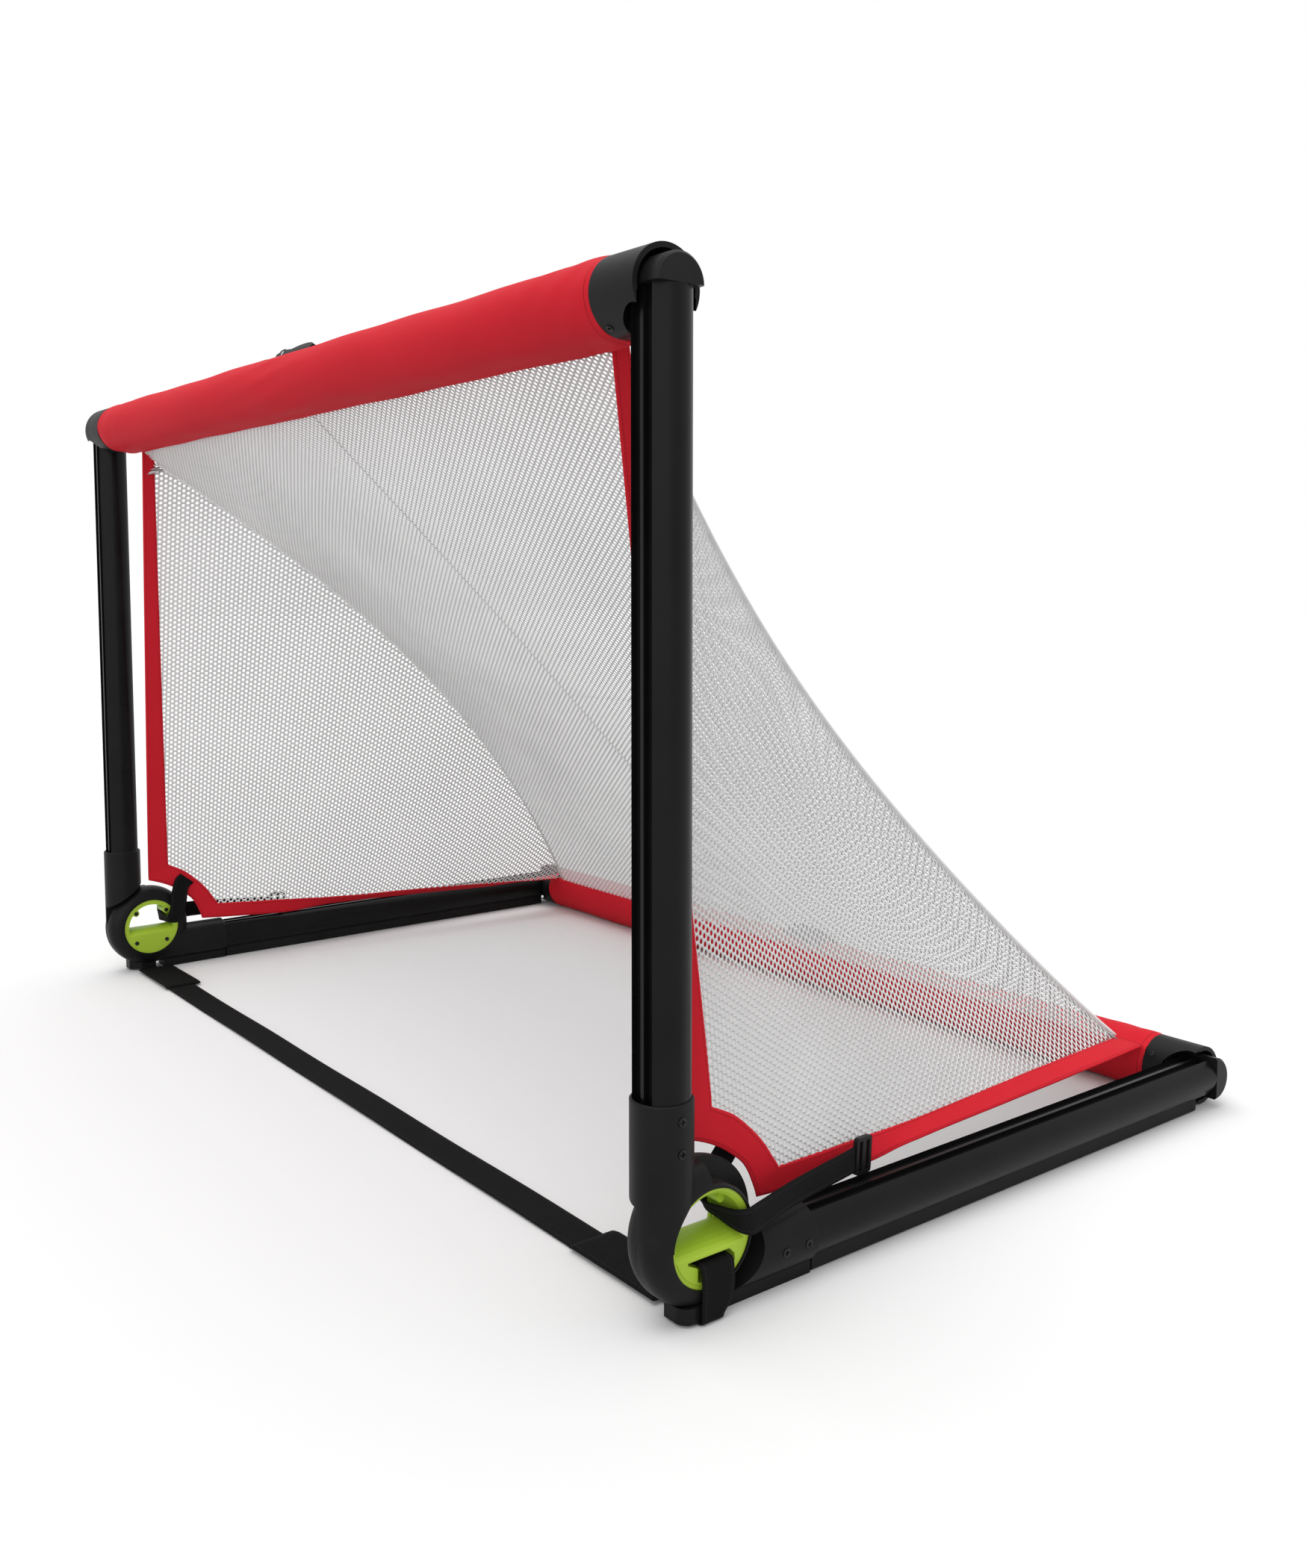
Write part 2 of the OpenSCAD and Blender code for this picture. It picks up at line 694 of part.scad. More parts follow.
// Thin solid with one gap in each cell. Cells run anticlockwise seen from the
// normal's side, and rim is the closed outline in the same direction.
module lattice(pts, nrm, cells, rim, t) {
  base = 2 * len(pts);
  points = concat(
    [for (i = [0:len(pts) - 1]) for (h = [-1, 1]) pts[i] + h * t / 2 * nrm],
    [for (c = cells) let (n = len(c), mid = [for (k = [0:n - 1]) 1] * [for (q = c) pts[q]] / n)
       for (k = [0:3]) for (h = [-1, 1])
         pts[c[k % n]] * (1 - strand) + mid * strand + h * t / 2 * nrm]);
  faces = concat(
    [for (ci = [0:len(cells) - 1]) let (c = cells[ci], n = len(c)) for (k = [0:n - 1])
       let (a = 2 * c[k], b = 2 * c[(k + 1) % n],
            ia = base + 8 * ci + 2 * k, ib = base + 8 * ci + 2 * ((k + 1) % n))
       each [[a + 1, ia + 1, ib + 1], [a + 1, ib + 1, b + 1],
             [a, ib, ia], [a, b, ib],
             [ia, ib, ib + 1], [ia, ib + 1, ia + 1]]],
    [for (k = [0:len(rim) - 1]) let (a = 2 * rim[k], b = 2 * rim[(k + 1) % len(rim)])
       each [[a, a + 1, b + 1], [a, b + 1, b]]]);
  polyhedron(points, faces);
}

// Flat band of thickness t between two edges given as pairs of points
module ribbon(pairs, t) {
  n = len(pairs);
  nrm = [for (i = [0:n - 1]) let (a = pairs[max(0, i - 1)], b = pairs[min(n - 1, i + 1)])
           unit(cross(b[0] + b[1] - a[0] - a[1], pairs[i][1] - pairs[i][0]))];
  points = [for (i = [0:n - 1]) each [pairs[i][0] - nrm[i] * t / 2, pairs[i][1] - nrm[i] * t / 2,
                                      pairs[i][1] + nrm[i] * t / 2, pairs[i][0] + nrm[i] * t / 2]];
  faces = concat(
    [[0, 1, 2], [0, 2, 3], [4 * n - 4, 4 * n - 2, 4 * n - 3], [4 * n - 4, 4 * n - 1, 4 * n - 2]],
    [for (i = [0:n - 2]) for (k = [0:3]) let (a = 4 * i + k, b = 4 * i + (k + 1) % 4)
       each [[a, a + 4, b + 4], [a, b + 4, b]]]);
  polyhedron(points, faces);
}

// ---------------------------------------------------------------- net

module back_net() {
  nx = back_gaps_x;
  ns = back_gaps_s;
  function id(i, j) = i * (ns + 1) + j;
  pts = [for (i = [0:nx]) for (j = [0:ns]) back_point(2 * i / nx - 1, j / ns)];
  cells = [for (i = [0:nx - 1]) for (j = [0:ns - 1])
             [id(i, j), id(i, j + 1), id(i + 1, j + 1), id(i + 1, j)]];
  rim = concat([for (j = [0:ns - 1]) id(0, j)], [for (i = [0:nx - 1]) id(i, ns)],
               [for (j = [ns:-1:1]) id(nx, j)], [for (i = [nx:-1:1]) id(i, 0)]);
  color(WHITE) lattice(pts, unit([0, -1, -1]), cells, rim, net_t);
}

// Side net as a triangle of n rows, with its corner by the hub left out
module side_net_solid() {
  n = side_gaps;
  function id(i, j) = i * (n + 1) - i * (i - 1) / 2 + j;
  pts = [for (i = [0:n]) for (j = [0:n - i]) side_point(i / n, j / n)];
  squares = [for (i = [0:n - 2]) for (j = [0:n - 2 - i]) if (i + j > 0)
               [id(i, j), id(i + 1, j), id(i + 1, j + 1), id(i, j + 1)]];
  slants = [for (i = [0:n - 1]) [id(i, n - 1 - i), id(i + 1, n - 1 - i), id(i, n - i)]];
  corner = [[id(1, 0), id(1, 1), id(0, 1)]];
  rim = concat([for (i = [1:n - 1]) id(i, 0)], [for (i = [n:-1:1]) id(i, n - i)],
               [for (j = [n:-1:1]) id(0, j)]);
  lattice(pts, [1, 0, 0], concat(squares, slants, corner), rim, net_t);
}

module side_net(s) color(WHITE) on_side(s) side_net_solid();

// Fabric border: down the upright, round the hub, along the floor to the rear bar
module net_border(s) {
  front = [for (t = [0:0.25:1]) let (x = border_top_x * (1 - t) + border_x * t)
             [at(x, net_top[0] + 20 * t, net_top[1] - 1 - 556 * t),
              at(x, -9 + 34 * t, net_top[1] - 1 - 549 * t)]];
  arc = [for (t = [0.2:0.2:0.8])
           let (a = 90 - 90 * t, b = 73 - 63 * t, r = arc_hub_r[0] * (1 - t) + arc_hub_r[1] * t,
                q = arc_net_r[0] * (1 - t) + arc_net_r[1] * t)
           [at(border_x, r * cos(a), hinge_z + r * sin(a)),
            at(border_x, q * cos(b), hinge_z + q * sin(b))]];
  low = [[at(566, 60, 60), at(566, 96, 77.5)], [at(553, 290, 56), at(542, 300, 73)],
         [at(541, 517, 52), at(518, 517, 61)], [at(536, 575, 31), at(512, 575, 58)],
         [at(536, 628, 27), at(508, 628, 53.5)]];
  color(RED) on_side(s) ribbon(concat(front, arc, low), border_t);
}

// ---------------------------------------------------------------- tie straps

// Webbing from the border through the hub's window and back to the buckle
module tie_strap(s) {
  path = [[at(564, 40, 130), at(564, 56, 112)],
          [at(556, 28, 112), at(556, 40, 92)],
          [at(553, 12, 88), at(553, 18, 66)],
          [at(575, 4, 86), at(575, 8, 63)],
          [at(602, 4, 84), at(602, 8, 62)],
          [at(607, 14, 82), at(607, 16, 60)],
          [at(601, 40, 81), at(601, 44, 59)],
          [at(571, 170, 76), at(571, 171, 54)]];
  color(BLACK) on_side(s) ribbon(path, web_t);
}

// Two-bar buckle on the border
module tie_buckle(s) {
  color(BLACK) on_side(s) translate(at(569.5, 184, 65)) rotate([-4, 0, 8]) difference() {
    rotate([90, 0, 90]) linear_extrude(4, center = true) offset(r = 3)
      square([14, 24], center = true);
    for (y = [-4.6, 4.6]) translate([0, y, 0]) cube([8, 4.6, 24], center = true);
  }
}

base_tube(-1);  // left_base_tube
base_tube(1);  // right_base_tube
glide_strip(-1);  // left_glide_strip
glide_strip(1);  // right_glide_strip
base_arm(-1);  // left_base_arm
base_arm(1);  // right_base_arm
base_arm_screws(-1);  // left_base_arm_screws
base_arm_screws(1);  // right_base_arm_screws
upright_tube(-1);  // left_upright_tube
upright_tube(1);  // right_upright_tube
upright_arm(-1);  // left_upright_arm
upright_arm(1);  // right_upright_arm
upright_arm_screws(-1);  // left_upright_arm_screws
upright_arm_screws(1);  // right_upright_arm_screws
hub_bush(-1);  // left_hub_bush
hub_bush(1);  // right_hub_bush
bush_cap(-1);  // left_bush_cap
bush_cap(1);  // right_bush_cap
bush_screws(-1);  // left_bush_screws
bush_screws(1);  // right_bush_screws
hub_foot(-1);  // left_hub_foot
hub_foot(1);  // right_hub_foot
strap_end(-1);  // left_strap_end
strap_end(1);  // right_strap_end
strap_cuff(-1);  // left_strap_cuff
strap_cuff(1);  // right_strap_cuff
tie_strap(-1);  // left_tie_strap
tie_strap(1);  // right_tie_strap
tie_buckle(-1);  // left_tie_buckle
tie_buckle(1);  // right_tie_buckle
elbow(-1, false, bar_outer_d / 2);  // left_top_elbow
elbow(1, false, bar_inner_d / 2);  // right_top_elbow
elbow(-1, true, bar_outer_d / 2);  // left_rear_elbow
elbow(1, true, bar_inner_d / 2);  // right_rear_elbow
end_cap(-1, false);  // left_top_end_cap
end_cap(1, false);  // right_top_end_cap
end_cap(-1, true);  // left_rear_end_cap
end_cap(1, true);  // right_rear_end_cap
elbow_screws(-1, false);  // left_top_elbow_screws
elbow_screws(1, false);  // right_top_elbow_screws
elbow_screws(-1, true);  // left_rear_elbow_screws
elbow_screws(1, true);  // right_rear_elbow_screws
outer_bar(false);  // crossbar_outer_tube
inner_bar(false);  // crossbar_inner_tube
outer_bar(true);  // rear_outer_tube
inner_bar(true);  // rear_inner_tube
sleeve(false);  // crossbar_sleeve
sleeve(true);  // rear_sleeve
lock_housing(false);  // crossbar_lock_housing
lock_lever(false);  // crossbar_lock_lever
lock_pin(false);  // crossbar_lock_pin
lock_housing(true);  // rear_lock_housing
lock_lever(true);  // rear_lock_lever
lock_pin(true);  // rear_lock_pin
floor_strap();
back_net();
side_net(-1);  // left_side_net
side_net(1);  // right_side_net
net_border(-1);  // left_net_border
net_border(1);  // right_net_border
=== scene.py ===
"""Folding street hockey goal: finishes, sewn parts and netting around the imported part."""

import json
import math

import bpy
import numpy as np
from mathutils import Matrix, Vector


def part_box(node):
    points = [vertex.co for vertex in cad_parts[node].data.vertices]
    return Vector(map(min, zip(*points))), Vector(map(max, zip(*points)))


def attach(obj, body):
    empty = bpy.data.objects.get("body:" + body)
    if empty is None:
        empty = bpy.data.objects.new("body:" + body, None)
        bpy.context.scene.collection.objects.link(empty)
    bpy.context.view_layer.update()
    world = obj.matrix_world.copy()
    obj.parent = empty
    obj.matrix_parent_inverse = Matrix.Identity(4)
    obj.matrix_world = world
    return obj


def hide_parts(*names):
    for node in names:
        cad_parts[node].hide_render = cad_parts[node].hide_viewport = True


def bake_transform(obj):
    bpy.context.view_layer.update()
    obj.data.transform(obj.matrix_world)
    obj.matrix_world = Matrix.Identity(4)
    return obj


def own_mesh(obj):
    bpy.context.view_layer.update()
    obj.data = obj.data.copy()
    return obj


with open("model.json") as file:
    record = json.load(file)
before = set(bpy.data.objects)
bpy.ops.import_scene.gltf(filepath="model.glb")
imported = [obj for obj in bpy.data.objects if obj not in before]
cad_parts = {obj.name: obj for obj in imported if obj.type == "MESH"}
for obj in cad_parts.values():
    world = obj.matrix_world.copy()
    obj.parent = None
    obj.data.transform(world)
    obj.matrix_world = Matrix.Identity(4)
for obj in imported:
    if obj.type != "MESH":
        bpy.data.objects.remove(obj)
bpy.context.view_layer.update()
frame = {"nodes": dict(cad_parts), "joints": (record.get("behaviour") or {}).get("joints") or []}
nodes = frame["nodes"]


# ============================================================ SIDE TUBES
# Four lengths of aluminium extrusion with a channel along one face, cut square and coated black.
# The die's fine lines show through the thin coat, and handling leaves faint cloudy patches.

TUBE_BLACK = (0.0048, 0.0048, 0.0050, 1)
TUBE_BLACK_WORN = (0.0074, 0.0074, 0.0076, 1)


def group_of(name, inputs, outputs):
    """Empty node group: inputs are (name, socket type, value), outputs (name, socket type)."""
    group = bpy.data.node_groups.new(name, "ShaderNodeTree")
    for label, kind, value in inputs:
        socket = group.interface.new_socket(label, in_out="INPUT", socket_type=kind)
        if value is not None:
            socket.default_value = value
    for label, kind in outputs:
        group.interface.new_socket(label, in_out="OUTPUT", socket_type=kind)
    return group, group.nodes.new("NodeGroupInput"), group.nodes.new("NodeGroupOutput")


def mix_colours(tree, share, a, b):
    """Mix of two colours; each of share, a and b is a value or an output socket."""
    node = tree.nodes.new("ShaderNodeMix")
    node.data_type = "RGBA"
    for label, value in (("Factor", share), ("A", a), ("B", b)):
        if isinstance(value, bpy.types.NodeSocket):
            tree.links.new(value, node.inputs[label])
        else:
            node.inputs[label].default_value = value
    return node.outputs["Result"]


def new_finish(name, **even):
    """Material, its node tree and its shader, with the shader's even values set by name."""
    material = bpy.data.materials.new(name)
    material.use_nodes = True
    shader = material.node_tree.nodes["Principled BSDF"]
    for label, value in even.items():
        shader.inputs[label.replace("_", " ")].default_value = value
    return material, material.node_tree, shader


def raise_relief(tree, shader, height, strength, depth):
    """Bump from a height socket, as strong and as deep as given."""
    relief = tree.nodes.new("ShaderNodeBump")
    relief.inputs["Strength"].default_value = strength
    relief.inputs["Distance"].default_value = depth
    tree.links.new(height, relief.inputs["Height"])
    tree.links.new(relief.outputs["Normal"], shader.inputs["Normal"])


def handling_group():
    """Large soft patches and fine grain on Object coordinates, both from 0 to 1."""
    group, inside, outside = group_of(
        "handling",
        [("Patch Scale", "NodeSocketFloat", 9.0), ("Grain Scale", "NodeSocketFloat", 900.0),
         ("Stretch", "NodeSocketVector", (1, 1, 1))],
        [("Patches", "NodeSocketFloat"), ("Grain", "NodeSocketFloat")])
    place = group.nodes.new("ShaderNodeTexCoord")
    patches = group.nodes.new("ShaderNodeTexNoise")
    patches.inputs["Detail"].default_value = 4
    patches.inputs["Roughness"].default_value = 0.55
    group.links.new(place.outputs["Object"], patches.inputs["Vector"])
    group.links.new(inside.outputs["Patch Scale"], patches.inputs["Scale"])
    contrast = group.nodes.new("ShaderNodeMapRange")
    contrast.inputs["From Min"].default_value = 0.36
    contrast.inputs["From Max"].default_value = 0.66
    group.links.new(patches.outputs["Fac"], contrast.inputs["Value"])
    group.links.new(contrast.outputs["Result"], outside.inputs["Patches"])
    stretch = group.nodes.new("ShaderNodeVectorMath")
    stretch.operation = "MULTIPLY"
    group.links.new(place.outputs["Object"], stretch.inputs[0])
    group.links.new(inside.outputs["Stretch"], stretch.inputs[1])
    grain = group.nodes.new("ShaderNodeTexNoise")
    grain.inputs["Detail"].default_value = 2
    group.links.new(stretch.outputs["Vector"], grain.inputs["Vector"])
    group.links.new(inside.outputs["Grain Scale"], grain.inputs["Scale"])
    group.links.new(grain.outputs["Fac"], outside.inputs["Grain"])
    return group


HANDLING = handling_group()


def hard_finish(name, colour, worn_colour, *, rough, grain_scale, grain_depth, grain=0.35,
                stretch=(1, 1, 1), patch_scale=9.0, metallic=0.0, specular=0.5):
    """Solid material: its colour varies in soft patches, and its grain stands in relief.

    Its roughness goes with the patches, from rough[0] to rough[1], where the two differ."""
    material, tree, shader = new_finish(name, Metallic=metallic, Specular_IOR_Level=specular,
                                        Roughness=rough[0])
    handled = tree.nodes.new("ShaderNodeGroup")
    handled.node_tree = HANDLING
    handled.inputs["Patch Scale"].default_value = patch_scale
    handled.inputs["Grain Scale"].default_value = grain_scale
    handled.inputs["Stretch"].default_value = stretch
    patches = handled.outputs["Patches"]
    tree.links.new(mix_colours(tree, patches, colour, worn_colour), shader.inputs["Base Color"])
    if rough[0] != rough[1]:
        gloss = tree.nodes.new("ShaderNodeMapRange")
        gloss.inputs["To Min"].default_value, gloss.inputs["To Max"].default_value = rough
        tree.links.new(patches, gloss.inputs["Value"])
        tree.links.new(gloss.outputs["Result"], shader.inputs["Roughness"])
    raise_relief(tree, shader, handled.outputs["Grain"], grain, grain_depth)
    return material


def dress(material, *names):
    """Gives CAD nodes a finish."""
    for name in names:
        mesh = nodes[name].data
        mesh.materials.clear()
        mesh.materials.append(material)


for tube, stretch in (("upright", (1, 1, 0.012)), ("base", (1, 0.012, 1))):
    coated = hard_finish(f"coated_{tube}_tube", TUBE_BLACK, TUBE_BLACK_WORN, rough=(0.26, 0.36),
                         grain_scale=900, grain_depth=0.00012, stretch=stretch, specular=0.12)
    dress(coated, f"left_{tube}_tube", f"right_{tube}_tube")


# ============================================================ GLIDE STRIPS
# Hard black runner pushed into the groove under each ground tube. It is extruded polyethylene,
# scuffed by the floor.

runner = hard_finish("runner_plastic", (0.008, 0.008, 0.008, 1), (0.014, 0.014, 0.014, 1),
                     rough=(0.45, 0.62), grain_scale=700, grain_depth=0.0002,
                     stretch=(1, 0.05, 1), patch_scale=20, specular=0.12)
dress(runner, "left_glide_strip", "right_glide_strip")


# ============================================================ HUBS AND CORNERS
# Glass-filled nylon mouldings: two arms that meet in each hub, the foot under it, the corner
# elbows with their hoods, and the caps that close the tubes. Satin, with a fine spark texture.

SIDES = {"left": -1, "right": 1}
nylon = hard_finish("black_nylon", (0.0070, 0.0070, 0.0072, 1), (0.0100, 0.0100, 0.0103, 1),
                    rough=(0.38, 0.50), grain_scale=2200, grain_depth=0.00010, patch_scale=14,
                    specular=0.12)
nylon_cap = hard_finish("black_nylon_cap", (0.0075, 0.0075, 0.0078, 1), (0.0115, 0.0115, 0.012, 1),
                        rough=(0.34, 0.44), grain_scale=1600, grain_depth=0.00010, patch_scale=30,
                        specular=0.15)
for side in SIDES:
    dress(nylon, f"{side}_base_arm", f"{side}_upright_arm", f"{side}_hub_foot",
          f"{side}_top_elbow", f"{side}_rear_elbow")
    dress(nylon_cap, f"{side}_top_end_cap", f"{side}_rear_end_cap")


# ============================================================ HINGE BUSHES
# Lime green acetal: a flanged bush and its cap on the inner side, screwed together through
# the hub. Smooth and slightly waxy.

lime = hard_finish("lime_acetal", (0.440, 0.640, 0.048, 1), (0.410, 0.600, 0.042, 1),
                   rough=(0.36, 0.46), grain_scale=1500, grain_depth=0.00006, patch_scale=25,
                   specular=0.3)
lime_shader = lime.node_tree.nodes["Principled BSDF"]
lime_shader.inputs["Subsurface Weight"].default_value = 0.06
lime_shader.inputs["Subsurface Radius"].default_value = (0.004, 0.005, 0.001)
dress(lime, "left_hub_bush", "right_hub_bush", "left_bush_cap", "right_bush_cap")


# ============================================================ SCREWS
# Steel pan heads with a thin black oxide finish, grey where it is rubbed. They hold the arms
# and elbows to their tubes and each bush to its cap.

screw_black = hard_finish("black_oxide", (0.010, 0.010, 0.010, 1), (0.030, 0.030, 0.031, 1),
                          rough=(0.30, 0.45), grain_scale=1200, grain_depth=0.00006,
                          patch_scale=160, metallic=0.6, specular=0.3)
for side in SIDES:
    dress(screw_black, f"{side}_base_arm_screws", f"{side}_upright_arm_screws",
          f"{side}_bush_screws", f"{side}_top_elbow_screws", f"{side}_rear_elbow_screws")


# ============================================================ BAR TUBES AND THEIR LOCKS
# Two drawn aluminium tubes slide in each other inside each sleeve, natural finish. A black
# moulded saddle with a flip lever holds each pair, and its steel pin shows at the ears.

aluminium = hard_finish("drawn_aluminium", (0.50, 0.50, 0.51, 1), (0.60, 0.60, 0.61, 1),
                        rough=(0.26, 0.36), grain_scale=900, grain_depth=0.0001,
                        stretch=(0.02, 1, 1), metallic=1.0)
steel = hard_finish("pin_steel", (0.42, 0.42, 0.43, 1), (0.50, 0.50, 0.50, 1), rough=(0.22, 0.34),
                    grain_scale=900, grain_depth=0.0001, metallic=1.0)
for bar in ("crossbar", "rear"):
    dress(aluminium, f"{bar}_outer_tube", f"{bar}_inner_tube")
    dress(nylon, f"{bar}_lock_housing")
    dress(nylon_cap, f"{bar}_lock_lever")
    dress(steel, f"{bar}_lock_pin")


# ============================================================ SLEEVES
# Padded sleeve of red woven polyester round each bar. The cloth is wrapped round the bar and
# sewn shut at the net, so it draws to an edge there. It opens round the lock, with a hem.

RED = (0.740, 0.021, 0.036, 1)
# darker red: painted shade in the gaps between threads, and darker random tone
RED_SHADE_AND_TONE = (0.640, 0.016, 0.029, 1)
RED_THREAD = (0.450, 0.011, 0.020, 1)
sleeve_low, sleeve_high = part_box("crossbar_sleeve")
lock_low, lock_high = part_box("crossbar_lock_housing")
joints = {joint["name"]: joint for joint in frame["joints"]}
SLEEVE_END = sleeve_high.x
SLEEVE_R = (sleeve_high.z - sleeve_low.z) / 2
SLEEVE_WALL, SLEEVE_STEP = 0.0026, 0.005
LOCK_TURN = math.radians(62)
# from the lock's middle to the hem beside it, which clears the housing by 1 mm
LOCK_ROOM = (lock_high.x - lock_low.x) / 2 + 0.001
# how far in from the ends, and from the lock's middle, the cloth's pulls fade
END_FADE, LOCK_FADE = 0.05, 0.06
# how far the end hem draws in, and over what length
HEM_DRAW, HEM_FADE = 0.0012, 0.004
# pitch of the stitches, the share of it that is thread, and half the thread's width
STITCH, STITCH_SHARE, STITCH_HALF = 0.0034, 0.72, 0.0005


def cloth_object(name, points, faces, uv, edge_in):
    """Mesh object in place, with its UVs in metres and each point's distance from a cut edge."""
    mesh = bpy.data.meshes.new(name)
    mesh.from_pydata(points.tolist(), [], faces.tolist() if hasattr(faces, "tolist") else faces)
    corner = np.zeros(len(mesh.loops), np.int32)
    mesh.loops.foreach_get("vertex_index", corner)
    layer = mesh.uv_layers.new(name="cloth")
    layer.data.foreach_set("uv", np.asarray(uv, np.float32)[corner].ravel())
    inset = mesh.attributes.new("edge_in", "FLOAT", "POINT")
    inset.data.foreach_set("value", np.asarray(edge_in, np.float32))
    mesh.shade_smooth()
    made = bpy.data.objects.new(name, mesh)
    bpy.context.scene.collection.objects.link(made)
    return made


def pick(piece):
    """Makes a piece the only selected and active object."""
    bpy.ops.object.select_all(action="DESELECT")
    piece.select_set(True)
    bpy.context.view_layer.objects.active = piece


def edit_all(piece, operator, **options):
    """Runs one mesh operator on all of a piece."""
    pick(piece)
    bpy.ops.object.mode_set(mode="EDIT")
    bpy.ops.mesh.select_all(action="SELECT")
    operator(**options)
    bpy.ops.object.mode_set(mode="OBJECT")
    piece.select_set(False)


def math_node(tree, operation, a, b=None, clamp=False):
    """Math node; a and b are numbers or output sockets."""
    node = tree.nodes.new("ShaderNodeMath")
    node.operation = operation
    node.use_clamp = clamp
    for socket, value in zip(node.inputs, (a, b)):
        if isinstance(value, bpy.types.NodeSocket):
            tree.links.new(value, socket)
        elif value is not None:
            socket.default_value = value
    return node.outputs[0]


def weave_group():
    """Plain weave on the UVs: relief of the threads, a share that paints shade into the gaps between
    threads and adds random tone, and a row of stitches.
    """
    group, inside, outside = group_of(
        "weave",
        [("Threads", "NodeSocketFloat", 1600.0), ("Row", "NodeSocketFloat", 0.003)],
        [("Relief", "NodeSocketFloat"), ("Shade", "NodeSocketFloat"), ("Stitches", "NodeSocketFloat")])

    def ridges(run):
        """One ridge for each thread."""
        return math_node(group, "ABSOLUTE",
                         math_node(group, "SINE", math_node(group, "MULTIPLY", run, math.pi)))

    uv = group.nodes.new("ShaderNodeUVMap")
    uv.uv_map = "cloth"
    split = group.nodes.new("ShaderNodeSeparateXYZ")
    group.links.new(uv.outputs["UV"], split.inputs["Vector"])
    along = math_node(group, "MULTIPLY", split.outputs["X"], inside.outputs["Threads"])
    across = math_node(group, "MULTIPLY", split.outputs["Y"], inside.outputs["Threads"])
    parity = math_node(group, "ADD", math_node(group, "FLOOR", along),
                       math_node(group, "FLOOR", across))
    over = math_node(group, "MODULO", math_node(group, "ABSOLUTE", parity), 2.0)
    under = math_node(group, "SUBTRACT", 1.0, over)
    relief = math_node(group, "ADD", math_node(group, "MULTIPLY", ridges(along), over),
                       math_node(group, "MULTIPLY", ridges(across), under))
    edge = group.nodes.new("ShaderNodeAttribute")
    edge.attribute_name = "edge_in"
    off_row = math_node(group, "ABSOLUTE",
                        math_node(group, "SUBTRACT", edge.outputs["Fac"], inside.outputs["Row"]))
    on_row = math_node(group, "LESS_THAN", off_row, STITCH_HALF)
    beat = math_node(group, "FRACT", math_node(group, "DIVIDE", split.outputs["X"], STITCH))
    stitches = math_node(group, "MULTIPLY", on_row, math_node(group, "LESS_THAN", beat, STITCH_SHARE))
    bigger = group.nodes.new("ShaderNodeTexNoise")
    bigger.inputs["Scale"].default_value = 14
    bigger.inputs["Detail"].default_value = 3
    place = group.nodes.new("ShaderNodeTexCoord")
    group.links.new(place.outputs["Object"], bigger.inputs["Vector"])
    # low in the gaps between threads, which is painted shade, and varied by noise, which is random
    # tone
    shade = math_node(group, "ADD", math_node(group, "MULTIPLY", relief, 0.35),
                      math_node(group, "MULTIPLY", bigger.outputs["Fac"], 0.65), clamp=True)
    group.links.new(math_node(group, "ADD", relief, math_node(group, "MULTIPLY", stitches, 2.0)),
                    outside.inputs["Relief"])
    group.links.new(shade, outside.inputs["Shade"])
    group.links.new(stitches, outside.inputs["Stitches"])
    return group


WEAVE = weave_group()


def cloth_finish(name, colour, shade_and_tone_colour, thread_colour, *, threads, depth, rough, row):
    """Woven cloth or webbing: threads to the metre, and how far in from its cut edges it is sewn."""
    material, tree, shader = new_finish(name, Roughness=rough, Specular_IOR_Level=0.08)
    weave = tree.nodes.new("ShaderNodeGroup")
    weave.node_tree = WEAVE
    weave.inputs["Threads"].default_value = threads
    weave.inputs["Row"].default_value = row
    # the second colour is painted shade in the gaps between threads, and darker random tone
    cloth = mix_colours(tree, weave.outputs["Shade"], shade_and_tone_colour, colour)
    sewn = mix_colours(tree, weave.outputs["Stitches"], cloth, thread_colour)
    tree.links.new(sewn, shader.inputs["Base Color"])
    raise_relief(tree, shader, weave.outputs["Relief"], 0.5, depth)
    return material


red_cloth = cloth_finish("red_polyester", RED, RED_SHADE_AND_TONE, RED_THREAD, threads=1500, depth=0.00010,
                         rough=0.62, row=0.006)


